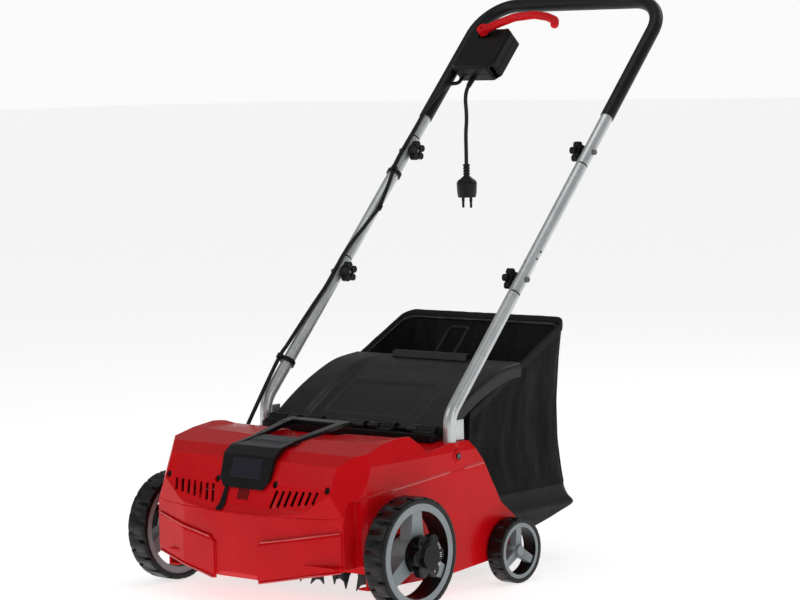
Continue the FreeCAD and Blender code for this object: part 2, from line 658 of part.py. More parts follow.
def star_knob(along):
    """Five-lobed clamping knob on the inner side of the tube."""
    centre = arm_point(0, along)
    low, high = KNOB_X - KNOB_THICK, KNOB_X
    parts = [rod(13, (low + 3, centre[1], centre[2]), (high, centre[1], centre[2]))]
    for i in range(5):
        turn = math.radians(72 * i + 20)
        y, z = centre[1] + 12.5 * math.cos(turn), centre[2] + 12.5 * math.sin(turn)
        parts.append(rod(6.5, (low, y, z), (high - 4, y, z)))
    solid = union(parts)
    return solid.cut(rod(BOLT_R + FIT, (low - 1, centre[1], centre[2]), (high + 1, centre[1], centre[2])))


def leg_screws():
    """One screw through each leg from the side panel."""
    screw = union([rod(2.5, (206, LEG_Y, 232), (BODY_X + 0.5, LEG_Y, 232)),
                   rod(4.6, (BODY_X + 0.2, LEG_Y, 232), (BODY_X + 3, LEG_Y, 232))])
    return Part.makeCompound([screw, mirrored(screw)])


def cowl_screws():
    """Four screws sunk in the front of the hood."""
    screws = []
    for x, z in ((66, 205), (182, 204)):
        screw = union([rod(4.7, (x, -96, z), (x, -91, z)), rod(2, (x, -91, z), (x, -77, z))])
        screws += [screw, mirrored(screw)]
    return Part.makeCompound(screws)


# ---- switch box and its controls ----------------------------------------------------------
def box_outline():
    """Side outline of the switch box in the handle's plane, corners cut off."""
    x0, x1 = BOX_X
    s0, s1 = BOX_S
    return [(x0, s0 + 8), (x0 + 8, s0), (x1 - 14, s0), (x1, s0 + 14), (x1, s1 - 10), (x1 - 12, s1),
            (x0 + 6, s1), (x0, s1 - 6)]


def switch_front():
    """Front shell of the switch box, hollow."""
    outer = prism_z(box_outline(), (2.0, BOX_P[1]))
    top_edges = [e for e in outer.Edges if abs(e.CenterOfMass.z - BOX_P[1]) < 0.1]
    outer = outer.makeChamfer(5, top_edges)
    inner = box((BOX_X[0] + 4, BOX_X[1] - 5), (BOX_S[0] + 5, BOX_S[1] - 5), (1, BOX_P[1] - 9))
    button_way = rod(BUTTON_R + GAP, (BUTTON_X, BOX_S[1] - 11 - BUTTON_TRAVEL, BUTTON_P),
                     (BUTTON_X, BOX_S[1] + 2, BUTTON_P))
    slot = box((BAIL_PIVOT[0] - 10, BAIL_PIVOT[0] + 46), (BOX_S[1] - 26, BOX_S[1] + 1), (17, BOX_P[1] + 1))
    pin = rod(4, (BAIL_PIVOT[0], BAIL_PIVOT[1], 15), (BAIL_PIVOT[0], BAIL_PIVOT[1], 30.5))
    shell = outer.cut(inner).cut(button_way).cut(slot)
    return on_arm(union([shell, pin]))


def switch_back():
    """Back shell with the clamp round the handle."""
    outer = prism_z(box_outline(), (BOX_P[0], 1.8))
    low_edges = [e for e in outer.Edges if abs(e.CenterOfMass.z - BOX_P[0]) < 0.1]
    outer = outer.makeChamfer(5, low_edges)
    inner = box((BOX_X[0] + 4, BOX_X[1] - 5), (BOX_S[0] + 5, BOX_S[1] - 5), (BOX_P[0] + 6, 2))
    clamp = ring(GRIP_R + 3.5, GRIP_R + FIT, (-LEG_X, BOX_S[0] + 20, 0), (-LEG_X, BOX_S[1] - 22, 0))
    clamp = clamp.common(box((-LEG_X - 20, BOX_X[0] + 0.5), (BOX_S[0], BOX_S[1]), (BOX_P[0], 1.8)))
    shell = union([outer.cut(inner), clamp])
    shell = shell.cut(rod(GRIP_R + FIT, (-LEG_X, BOX_S[0] - 5, 0), (-LEG_X, BOX_S[1] + 5, 0)))
    for x, radius in ((GLAND_X, 6.05), (CABLE_IN_X, CABLE_R + 0.4)):
        shell = shell.cut(rod(radius, (x, BOX_S[0] - 2, -8), (x, BOX_S[0] + 6, -8)))
    return on_arm(shell)


def push_button():
    """Round safety button on the upper end of the box."""
    cap = rod(BUTTON_R, (BUTTON_X, BOX_S[1] - 10, BUTTON_P), (BUTTON_X, BOX_S[1] + 8, BUTTON_P))
    rim_edges = [e for e in cap.Edges if abs(e.CenterOfMass.y - BOX_S[1] - 8) < 0.1 and e.Closed]
    cap = cap.makeFillet(2.5, rim_edges)
    return on_arm(cap)


def bail_lever():
    """One-armed switch lever reaching along the cross bar."""
    px, ps = BAIL_PIVOT
    path = [(px, ps, BAIL_P), (-128, 884, BAIL_P), (-100, 897, BAIL_P), (-55, 902, BAIL_P),
            (-22, 896, BAIL_P), (2, 886, BAIL_P), (6, 876, BAIL_P)]
    arm = pipe(path, [20, 30, 45, 40, 8], 6.2)
    eye = rod(9, (px, ps, 23.6), (px, ps, 35))
    tip = Part.makeSphere(6.2, V(*path[-1]))
    lever = union([arm, eye, tip])
    return on_arm(lever.cut(rod(4 + FIT, (px, ps, 20), (px, ps, 40))))


# ---- cables -----------------------------------------------------------------------------
GLAND_S = BOX_S[0]
LEAD_ROUTE = [arm_point(GLAND_X, GLAND_S - 21, -8), arm_point(GLAND_X - 0.5, GLAND_S - 38, -9.5),
              (-160.2, 693.0, 790.0), (-161.5, 690.0, 757.0), (-162.6, 691.8, 724.0), (-163.0, 692.0, 700.0)]
PLUG_TOP = LEAD_ROUTE[-1]


def run_radii(points):
    """Largest tangent arcs that the runs of a free cable allow."""
    radii = []
    for before, here, after in zip(points, points[1:], points[2:]):
        first, second = V(*before) - V(*here), V(*after) - V(*here)
        turn = math.pi - first.getAngle(second)
        radii.append(0.45 * min(first.Length, second.Length) / math.tan(turn / 2))
    return radii


def strain_relief():
    """Tapered sleeve where the plug lead leaves the switch box."""
    start, end = V(*arm_point(GLAND_X, GLAND_S + 5, -8)), V(*LEAD_ROUTE[0])
    axis = (start - end).normalize()
    return Part.makeCone(LEAD_R + 1.0, 5.9, (start - end).Length - 2 * GAP, end + axis * 2 * GAP, axis)


def plug():
    """Round two-pin plug hanging on the lead."""
    x, y, lead_end = PLUG_TOP
    top = lead_end - GAP / 2
    profile = [(0, 0), (6.5, 0), (6.5, -8), (9, -10), (9, -16), (7.5, -18), (10, -26), (20, -36),
               (18.5, -64), (0, -64)]
    wire = outline([(x + r, y, top + h) for r, h in profile])
    body = Part.Face(wire).revolve(V(x, y, top), V(0, 0, 1), 360)
    pins = [rod(2.4, (x + dx, y, top - 84), (x + dx, y, top - 60)) for dx in (-9.5, 9.5)]
    return union([body] + pins)


def cable_span(points):
    """Motor cable along one part of the handle."""
    radii = [min(r, 60.0) for r in run_radii(points)]
    return pipe(points, radii, CABLE_R)


LOWER_CABLE = [CABLE_EXIT, (-200.5, 112.0, 257.0), arm_point(-221, 76, 15.5), arm_point(-219, 118, 15.5),
               arm_point(-212, 200, 15.5), arm_point(-206, HINGE_1 - 42, 15.5)]
MIDDLE_CABLE = [arm_point(-206, HINGE_1 + 42, 15.5), arm_point(-200.5, HINGE_1 + 90, 12),
                arm_point(-197.5, HINGE_1 + 150, 4), arm_point(-200.5, HINGE_2 - 90, 10),
                arm_point(-206, HINGE_2 - 42, 15.5)]
UPPER_CABLE = [arm_point(-206, HINGE_2 + 42, 15.5), arm_point(-204, 680, 16.5), arm_point(-196, 740, 10),
               arm_point(CABLE_IN_X, 764, -6), arm_point(CABLE_IN_X, 780, -8)]


def ring_clip(along, side_x, out):
    """Clip round a tube with an eye for the cable beside it."""
    grip = ring(TUBE_R + 3, TUBE_R + FIT, arm_point(-LEG_X, along - 4), arm_point(-LEG_X, along + 4))
    eye = rod(CABLE_R + 3.0, arm_point(side_x, along - 4, out), arm_point(side_x, along + 4, out))
    solid = union([grip, eye])
    solid = solid.cut(rod(TUBE_R + FIT, arm_point(-LEG_X, along - 5), arm_point(-LEG_X, along + 5)))
    return solid.cut(rod(CABLE_R + 1.0, arm_point(side_x, along - 5, out), arm_point(side_x, along + 5, out)))


# ---- lid and hinge ------------------------------------------------------------------------
LID_TOP = [(180, 262), (178, 272), (200, 292), (249, 323), (300, 347), (344, 362), (LID_REAR_Y, 368)]
LID_EDGE = [(LID_REAR_Y, 343), (372, 342), (340, 334), (300, 320), (262, 302), (225, 280), (205, 268)]


def deflector_lid():
    """Curved lid shell with side skirts, raised ribs and hinge knuckles."""
    outer = prism_x(LID_TOP + LID_EDGE, (-LID_HALF, LID_HALF))
    inner = prism_x(LID_TOP + LID_EDGE, (-LID_HALF + LID_WALL, LID_HALF - LID_WALL))
    inner.translate(V(0, 0.8, -LID_WALL))
    shell = outer.cut(inner)
    below = prism_x([(y + 1, z - LID_WALL - 8) for y, z in LID_TOP[1:]] + [(LID_REAR_Y + 5, 200), (150, 200)],
                    (-LID_HALF + LID_WALL, LID_HALF - LID_WALL))
    barrel_room = rod(HINGE_BARREL_R + 2 * GAP, (-200, LID_AXIS_Y, LID_AXIS_Z), (200, LID_AXIS_Y, LID_AXIS_Z))
    shell = shell.cut(below).cut(barrel_room)
    band = prism_x([(y, z + 2.2) for y, z in LID_TOP[2:]] + [(y, z - 1) for y, z in reversed(LID_TOP[2:])],
                   (-200, 200))
    ribs = []
    for side in (1, -1):
        run = prism_z([(side * 112, 205), (side * 128, 205), (side * 106, 262), (side * 100, 330),
                       (side * 90, 330), (side * 94, 262)], (200, 420))
        ribs.append(band.common(run))
    knuckles = []
    for x0, x1 in KNUCKLES:
        knuckle = rod(HINGE_BARREL_R, (x0, LID_AXIS_Y, LID_AXIS_Z), (x1, LID_AXIS_Y, LID_AXIS_Z))
        web = box((x0, x1), (LID_AXIS_Y, 184), (LID_AXIS_Z - 7, LID_AXIS_Z + 6))
        knuckles += [knuckle, web]
    shell = union([shell] + ribs + knuckles)
    return shell.cut(rod(HINGE_ROD_R + FIT, (-200, LID_AXIS_Y, LID_AXIS_Z), (200, LID_AXIS_Y, LID_AXIS_Z)))


def hinge_bar():
    """Black bar behind the hood with the fixed hinge blocks."""
    bar = box((-196, 196), (148, 158), (DECK_Z, 268))
    blocks = [bar]
    for x0, x1 in HINGE_BLOCKS:
        blocks.append(box((x0, x1), (150, LID_AXIS_Y), (DECK_Z, LID_AXIS_Z)))
        blocks.append(rod(HINGE_BARREL_R, (x0, LID_AXIS_Y, LID_AXIS_Z), (x1, LID_AXIS_Y, LID_AXIS_Z)))
    return union(blocks).cut(rod(HINGE_ROD_R, (-200, LID_AXIS_Y, LID_AXIS_Z), (200, LID_AXIS_Y, LID_AXIS_Z)))


def hinge_rod():
    """Steel rod that the lid swings on."""
    return rod(HINGE_ROD_R, (-196, LID_AXIS_Y, LID_AXIS_Z), (196, LID_AXIS_Y, LID_AXIS_Z))


def lid_spring():
    """Torsion spring round the hinge rod."""
    turns, pitch, wire = 8, 2.6, 1.0
    helix = Part.makeHelix(pitch, pitch * turns, HINGE_ROD_R + 2.2)
    helix.rotate(V(0, 0, 0), V(0, 1, 0), 90)
    helix.translate(V(40, LID_AXIS_Y, LID_AXIS_Z))
    path = Part.Wire(helix.Edges)
    edge = path.Edges[0]
    start = edge.valueAt(edge.FirstParameter)
    circle = Part.Wire(Part.makeCircle(wire, start, edge.tangentAt(edge.FirstParameter)))
    return path.makePipeShell([circle], True, True)


def lid_grip():
    """Grip bar on the lid's rear edge."""
    bar = prism_x([(376, 366.5), (379, 376), (385, 379), (395, 378), (397.5, 368.6)], (-88, 88))
    ends = prism_z([(-88, 372), (-80, 402), (80, 402), (88, 372)], (350, 390))
    return bar.common(ends)


# ---- grass bag ----------------------------------------------------------------------------
BAG_SIDE = [(BAG_FRONT_Y, BAG_BASE_Z), (440, BAG_BASE_Z), (BAG_REAR_Y, 102), (BAG_REAR_Y - 1, 112),
            (533, 160), (524, 220), (523, 290), (531, 370), (BAG_RIM_REAR_Y, BAG_RIM_REAR_Z),
            (BAG_FRONT_Y, BAG_RIM_FRONT_Z)]


def bag_shell():
    """Bag walls: open above and at the front."""
    outer = prism_x(BAG_SIDE, (-BAG_HALF, BAG_HALF))
    side = shrunk(BAG_SIDE, BAG_WALL)
    inner = prism_x(side, (-BAG_HALF + BAG_WALL, BAG_HALF - BAG_WALL))
    mouth = prism_x([(BAG_FRONT_Y - 5, BAG_BASE_Z + BAG_WALL), (BAG_FRONT_Y + 10, BAG_BASE_Z + BAG_WALL),
                     (BAG_FRONT_Y + 10, 400), (BAG_FRONT_Y - 5, 400)],
                    (-BAG_HALF + BAG_WALL, BAG_HALF - BAG_WALL))
    front_y, rear_y = BAG_FRONT_Y - 5, 539.5 - BAG_WALL
    top = prism_x([(front_y, 280), (front_y, 330), (rear_y, 470), (rear_y, 415)],
                  (-BAG_HALF + BAG_WALL, BAG_HALF - BAG_WALL))
    return outer.cut(inner).cut(mouth).cut(top)


def bag_fabric():
    """Cloth part of the bag above its base."""
    return bag_shell().common(box((-300, 300), (200, 600), (BAG_SPLIT_Z, 500)))


def bag_base():
    """Moulded base of the bag."""
    return bag_shell().common(box((-300, 300), (200, 600), (0, BAG_SPLIT_Z - 0.01)))


def rim_z(y):
    """Height of the wire below the rim's slope."""
    rise = (BAG_RIM_REAR_Z - BAG_RIM_FRONT_Z) / (BAG_RIM_REAR_Y - BAG_FRONT_Y)
    return BAG_RIM_FRONT_Z + rise * (y - BAG_FRONT_Y) - RIM_DROP


def bag_frame():
    """Steel wire inside the rim, with a cross wire at the lid's edge."""
    x = BAG_HALF - BAG_WALL - RIM_WIRE_R - 0.4
    rear = BAG_RIM_REAR_Y - BAG_WALL - RIM_WIRE_R - 3
    loop = [(-x, 270, rim_z(270)), (-x, rear, rim_z(rear)), (x, rear, rim_z(rear)), (x, 270, rim_z(270))]
    wire = pipe(loop, [22, 22], RIM_WIRE_R)
    cross = rod(RIM_WIRE_R, (-x, LOOP_Y, rim_z(LOOP_Y)), (x, LOOP_Y, rim_z(LOOP_Y)))
    return union([wire, cross])


def carry_loop():
    """Bent wire for carrying the bag, hooked round its cross wire."""
    eye_r = RIM_WIRE_R + FIT
    eye_z = rim_z(LOOP_Y)
    near = (LOOP_Y + 3, eye_z + 2.8)
    far = (LOOP_Y + 56, eye_z + 52)
    points = [(-21, *near), (-21, *far), (21, *far), (21, *near)]
    wire = pipe(points, [9, 9], 2.2)
    parts = [wire]
    for x in (-21, 21):
        parts.append(rod(eye_r + 2.6, (x - 2.4, LOOP_Y, eye_z), (x + 2.4, LOOP_Y, eye_z)))
    return union(parts).cut(rod(eye_r, (-60, LOOP_Y, eye_z), (60, LOOP_Y, eye_z)))


# ---- all nodes ----------------------------------------------------------------------------
def build_all():
    """Every node by name."""
    nodes = {
        "lower_housing": lower_housing(), "top_cowl": top_cowl(), "carry_handle": carry_handle(),
        "badge_plate": badge_plate(), "handle_insert": handle_insert(), "motor_can": motor_can(),
        "motor_rotor": rotor(), "cooling_fan": fan(),
        "motor_pulley": pulley(MOTOR_Y, MOTOR_Z, MOTOR_PULLEY_R, 6), "drive_belt": belt(),
        "drum_pulley": pulley(DRUM_Y, DRUM_Z, DRUM_PULLEY_R, 8), "drum_shaft": drum_shaft(),
        "drum_knives": knives(), "drum_bearings": Part.makeCompound([bearing(1), bearing(-1)]),
        "hinge_bar": hinge_bar(), "hinge_rod": hinge_rod(), "lid_spring": lid_spring(),
        "deflector_lid": deflector_lid(), "lid_grip": lid_grip(), "bag_fabric": bag_fabric(),
        "bag_base": bag_base(), "bag_frame": bag_frame(), "bag_carry_loop": carry_loop(),
        "upper_bow": upper_bow(), "grip_sleeve": grip_sleeve(), "switch_front": switch_front(),
        "switch_back": switch_back(), "push_button": push_button(), "bail_lever": bail_lever(),
        "strain_relief": strain_relief(), "plug": plug(),
        "plug_lead": pipe(LEAD_ROUTE, run_radii(LEAD_ROUTE), LEAD_R),
        "cable_lower": cable_span(LOWER_CABLE), "cable_middle": cable_span(MIDDLE_CABLE),
        "cable_upper": cable_span(UPPER_CABLE),
        "cable_clip": ring_clip(88, -220.5, 15.5), "cable_hook": ring_clip(HINGE_2 - 56, -204.4, 13.9),
        "lower_bolts": hinge_bolt(HINGE_1), "upper_bolts": hinge_bolt(HINGE_2),
        "leg_screws": leg_screws(), "cowl_screws": cowl_screws(),
    }
    right = {
        "lower_tube": lower_tube(), "middle_tube": middle_tube(), "lower_knob": star_knob(HINGE_1),
        "upper_knob": star_knob(HINGE_2), "depth_adjuster": depth_adjuster(), "front_rim": front_rim(),
        "front_tyre": tyre(FRONT_R, FRONT_R * 0.893, FRONT_FACE_X, FRONT_WIDTH, 0, 18),
        "rear_rim": rear_rim(),
        "rear_tyre": tyre(REAR_R, REAR_R * 0.863, REAR_FACE_X, REAR_WIDTH, REAR_Y, 14),
    }
    for name, shape in right.items():
        nodes[name + "_right"] = shape
        nodes[name + "_left"] = mirrored(shape)
    nodes["rear_pins"] = Part.makeCompound([rear_pin(), mirrored(rear_pin())])
    return nodes


os.makedirs("parts", exist_ok=True)
for node, solid in build_all().items():
    save(node, solid)
print("lead radii", [round(r, 1) for r in run_radii(LEAD_ROUTE)])
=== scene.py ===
"""Looks of an electric lawn dethatcher with a folding handle and a grass bag, around its CAD frame.

Unless a name or comment says otherwise, lengths are in mm: x to the right as seen from the front,
y rearwards from the front axle, z up from the floor.
"""

import json
import math

import bmesh
import bpy
from mathutils import Matrix, Vector, noise


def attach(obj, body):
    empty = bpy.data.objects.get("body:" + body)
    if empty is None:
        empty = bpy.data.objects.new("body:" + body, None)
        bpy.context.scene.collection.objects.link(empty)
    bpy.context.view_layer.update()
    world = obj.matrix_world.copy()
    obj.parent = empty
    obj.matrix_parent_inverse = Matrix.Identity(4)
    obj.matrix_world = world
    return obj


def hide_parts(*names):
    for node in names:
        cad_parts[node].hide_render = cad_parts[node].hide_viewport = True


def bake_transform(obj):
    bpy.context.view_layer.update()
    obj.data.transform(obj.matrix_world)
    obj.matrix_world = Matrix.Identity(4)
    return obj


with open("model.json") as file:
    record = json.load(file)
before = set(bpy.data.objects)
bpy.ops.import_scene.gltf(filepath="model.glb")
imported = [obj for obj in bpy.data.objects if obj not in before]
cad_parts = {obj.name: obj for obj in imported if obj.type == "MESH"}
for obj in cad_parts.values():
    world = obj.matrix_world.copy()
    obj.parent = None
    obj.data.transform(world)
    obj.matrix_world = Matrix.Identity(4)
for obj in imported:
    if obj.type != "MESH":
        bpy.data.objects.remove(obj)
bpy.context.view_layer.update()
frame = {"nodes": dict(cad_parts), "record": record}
record = frame["record"]
BODY_OF = {node: body for body, nodes in record["behaviour"]["bodies"].items() for node in nodes}
SLOT_OF = {part["node"]: part["material_slot"] for part in record["subparts"]}
AXLE_Y = next(joint["pos_m"][1] for joint in record["behaviour"]["joints"]
              if joint["name"] == "front_wheel_right_spin")     # front axle in the frame, metres

MM = 0.001
SIDES = ((1, "right"), (-1, "left"))
FRONT_AXLE, REAR_AXLE = (0, 95), (302, 56)                      # y and z
LEG_Y, BEND_Z = 177.0, 298.5                                    # handle leg, and where it bends
ARM_SLOPE = math.radians(47)                                    # of the handle above its bend
HINGE_1, HINGE_2 = 297.0, 588.0                                 # along the arm from the bend


def at(x, y, z):
    """Point in the frame's metres."""
    return Vector((x * MM, y * MM + AXLE_Y, z * MM))


def arm(x, along, out=0.0):
    """Point by the handle: along the arm from its bend, and out from it towards the front."""
    return at(x, LEG_Y + along * math.cos(ARM_SLOPE) - out * math.sin(ARM_SLOPE),
              BEND_Z + along * math.sin(ARM_SLOPE) + out * math.cos(ARM_SLOPE))


# ---- camera and light --------------------------------------------------------------------
CAMERA_PLACE = (3327.1, -3544.4, 907.4)
CAMERA_TURN, CAMERA_DIP, CAMERA_ROLL = 40.853, 4.83, -1.227     # degrees
CAMERA_LENS, CAMERA_FILM = 130.28, 36.0                         # focal length and sensor width
FLOOR_HALF = 40.0                                               # metres
FLOOR_GREY, FLOOR_GLOW = 0.74, 0.70
SKY = ((0.04, 0.96), (0.16, 0.26))                              # heights and their brightness
LIGHTS = (                                                      # place, target, size (m), power (W)
    ("key", (-1.6, -2.6, 2.6), (0, -0.1, 0.3), (1.6, 1.6), 16),
    ("side", (3.0, -0.6, 1.4), (0, 0, 0.3), (0.8, 2.2), 9),
    ("back", (0.4, 2.6, 2.4), (0, 0.1, 0.5), (2.4, 1.0), 14),
    ("top", (0.0, -0.2, 3.2), (0, 0, 0.2), (2.0, 1.2), 10))


def place_camera():
    """Long lens from the front right, as the machine was pictured."""
    turn, dip, roll = (math.radians(v) for v in (CAMERA_TURN, CAMERA_DIP, CAMERA_ROLL))
    ahead = Vector((-math.sin(turn) * math.cos(dip), math.cos(turn) * math.cos(dip),
                    -math.sin(dip)))
    right = Vector((math.cos(turn), math.sin(turn), 0))
    up = right.cross(ahead)
    rolled_right = right * math.cos(roll) + up * math.sin(roll)
    rolled_up = up * math.cos(roll) - right * math.sin(roll)
    axes = Matrix((rolled_right, rolled_up, -ahead)).transposed().to_4x4()
    data = bpy.data.cameras.new("camera")
    data.lens, data.sensor_width = CAMERA_LENS, CAMERA_FILM
    data.clip_start, data.clip_end = 0.05, 60
    camera = bpy.data.objects.new("camera", data)
    camera.matrix_world = Matrix.Translation(at(*CAMERA_PLACE)) @ axes
    bpy.context.collection.objects.link(camera)
    bpy.context.scene.camera = camera


def add_light(name, place, target, size, power):
    """Soft rectangular studio light."""
    data = bpy.data.lights.new(name, "AREA")
    data.shape, data.size, data.size_y = "RECTANGLE", size[0], size[1]
    data.energy = power
    light = bpy.data.objects.new(name, data)
    light.location = place
    light.rotation_euler = (Vector(target) - Vector(place)).to_track_quat("-Z", "Y").to_euler()
    bpy.context.collection.objects.link(light)


def pale_world():
    """Surroundings that are bright at the horizon and greyer above."""
    world = bpy.data.worlds.new("studio")
    world.use_nodes = True
    tree = world.node_tree
    space = tree.nodes.new("ShaderNodeTexCoord")
    split = tree.nodes.new("ShaderNodeSeparateXYZ")
    tree.links.new(space.outputs["Generated"], split.inputs[0])
    sky = tree.nodes.new("ShaderNodeValToRGB")
    for element, (height, value) in zip(sky.color_ramp.elements, SKY):
        element.position, element.color = height, (value, value, value, 1)
    tree.links.new(split.outputs["Z"], sky.inputs["Fac"])
    tree.links.new(sky.outputs["Color"], tree.nodes["Background"].inputs["Color"])
    tree.nodes["Background"].inputs["Strength"].default_value = 1.0
    bpy.context.scene.world = world
    bpy.context.scene.view_settings.view_transform = "Standard"


def pale_floor():
    """Wide floor that glows a little, so that it stays near white."""
    mesh = bpy.data.meshes.new("floor")
    corners = ((-1, -1), (1, -1), (1, 1), (-1, 1))
    mesh.from_pydata([(x * FLOOR_HALF, y * FLOOR_HALF, 0) for x, y in corners], [],
                     [(0, 1, 2, 3)])
    floor = bpy.data.objects.new("floor", mesh)
    bpy.context.collection.objects.link(floor)
    material, _, shader = shader_of("floor")
    shader.inputs["Base Color"].default_value = (FLOOR_GREY, FLOOR_GREY, FLOOR_GREY, 1)
    shader.inputs["Roughness"].default_value = 0.9
    shader.inputs["Specular IOR Level"].default_value = 0.1
    shader.inputs["Emission Color"].default_value = (1, 1, 1, 1)
    shader.inputs["Emission Strength"].default_value = FLOOR_GLOW
    mesh.materials.append(material)


def studio():
    """Pale floor and walls of light."""
    pale_world()
    pale_floor()
    for light in LIGHTS:
        add_light(*light)


# ---- materials ---------------------------------------------------------------------------
GRAIN_DISTANCE = 0.0002                                         # metres


def shader_of(name):
    """New node material, its tree and its main shader."""
    material = bpy.data.materials.new(name)
    material.use_nodes = True
    return material, material.node_tree, material.node_tree.nodes["Principled BSDF"]


def noise_node(tree, scale, detail=4.0, stretch=(1, 1, 1)):
    """Noise over the object's own space."""
    nodes, links = tree.nodes, tree.links
    space = nodes.new("ShaderNodeTexCoord")
    mapping = nodes.new("ShaderNodeMapping")
    mapping.inputs["Scale"].default_value = stretch
    texture = nodes.new("ShaderNodeTexNoise")
    texture.inputs["Scale"].default_value = scale
    texture.inputs["Detail"].default_value = detail
    texture.inputs["Roughness"].default_value = 0.55
    links.new(space.outputs["Object"], mapping.inputs["Vector"])
    links.new(mapping.outputs["Vector"], texture.inputs["Vector"])
    return texture.outputs["Fac"]


def ramp(tree, source, low, high, start=0.3, end=0.7):
    """Colour or value between two ends by a factor."""
    node = tree.nodes.new("ShaderNodeValToRGB")
    for element, value, place in zip(node.color_ramp.elements, (low, high), (start, end)):
        element.position = place
        element.color = (*value, 1) if isinstance(value, tuple) else (value, value, value, 1)
    tree.links.new(source, node.inputs["Fac"])
    return node.outputs["Color"]


def combine(tree, operation, one, two):
    """Sum, product or larger of two values."""
    node = tree.nodes.new("ShaderNodeMath")
    node.operation = operation
    tree.links.new(one, node.inputs[0])
    tree.links.new(two, node.inputs[1])
    return node.outputs[0]


def bump(tree, shader, source, strength, distance):
    """Fine relief."""
    node = tree.nodes.new("ShaderNodeBump")
    node.inputs["Strength"].default_value = strength
    node.inputs["Distance"].default_value = distance
    tree.links.new(source, node.inputs["Height"])
    tree.links.new(node.outputs["Normal"], shader.inputs["Normal"])


def moulded(name, dark, light, rough, grain=1800.0, relief=0.12, coat=0.0, specular=0.2):
    """Moulded plastic: faint cloudiness, uneven gloss, fine spark-eroded grain."""
    material, tree, shader = shader_of(name)
    colour = ramp(tree, noise_node(tree, 14), dark, light)
    tree.links.new(colour, shader.inputs["Base Color"])
    tree.links.new(ramp(tree, noise_node(tree, 45, 6), *rough), shader.inputs["Roughness"])
    bump(tree, shader, noise_node(tree, grain, 2), relief, GRAIN_DISTANCE)
    shader.inputs["Specular IOR Level"].default_value = specular
    shader.inputs["Coat Weight"].default_value = coat
    shader.inputs["Coat Roughness"].default_value = 0.08
    return material


def metal(name, dark, light, rough, stretch=(1, 1, 1), metallic=1.0):
    """Metal with drawn or brushed streaks."""
    material, tree, shader = shader_of(name)
    shader.inputs["Metallic"].default_value = metallic
    colour = ramp(tree, noise_node(tree, 30, 5, stretch), dark, light)
    tree.links.new(colour, shader.inputs["Base Color"])
    gloss = ramp(tree, noise_node(tree, 90, 5, stretch), *rough)
    tree.links.new(gloss, shader.inputs["Roughness"])
    bump(tree, shader, noise_node(tree, 700, 2, stretch), 0.08, GRAIN_DISTANCE)
    return material


def rubber(name, dark, light, rough=(0.55, 0.75)):
    """Matt rubber with dust in its grain."""
    material, tree, shader = shader_of(name)
    colour = ramp(tree, noise_node(tree, 60, 6), dark, light, 0.35, 0.8)
    tree.links.new(colour, shader.inputs["Base Color"])
    tree.links.new(ramp(tree, noise_node(tree, 120, 5), *rough), shader.inputs["Roughness"])
    bump(tree, shader, noise_node(tree, 900, 3), 0.3, 0.0003)
    shader.inputs["Specular IOR Level"].default_value = 0.28
    return material


def mesh_cloth(name, thread, dark, light):
    """Woven polyester mesh: crossing threads with small dark holes between."""
    material, tree, shader = shader_of(name)
    nodes, links = tree.nodes, tree.links
    space = nodes.new("ShaderNodeTexCoord")
    split = nodes.new("ShaderNodeSeparateXYZ")
    links.new(space.outputs["Object"], split.inputs[0])
    wall = nodes.new("ShaderNodeCombineXYZ")
    around = combine(tree, "ADD", split.outputs["X"], split.outputs["Y"])
    links.new(around, wall.inputs["X"])         # x + y runs along the side and rear walls alike
    links.new(split.outputs["Z"], wall.inputs["Z"])
    waves = []
    for direction in ("X", "Z"):
        wave = nodes.new("ShaderNodeTexWave")
        wave.wave_type, wave.bands_direction, wave.wave_profile = "BANDS", direction, "SIN"
        wave.inputs["Scale"].default_value = thread
        wave.inputs["Distortion"].default_value = 0.6
        wave.inputs["Detail"].default_value = 1.0
        links.new(wall.outputs[0], wave.inputs["Vector"])
        waves.append(wave.outputs["Fac"])
    weave = combine(tree, "MAXIMUM", *waves)
    clouded = combine(tree, "MULTIPLY", weave, noise_node(tree, 40, 5, (1, 1, 0.35)))
    links.new(ramp(tree, clouded, dark, light, 0.2, 0.62), shader.inputs["Base Color"])
    shader.inputs["Roughness"].default_value = 0.78
    shader.inputs["Specular IOR Level"].default_value = 0.15
    shader.inputs["Sheen Weight"].default_value = 0.03
    shader.inputs["Sheen Roughness"].default_value = 0.4
    bump(tree, shader, weave, 0.55, 0.0006)
    return material


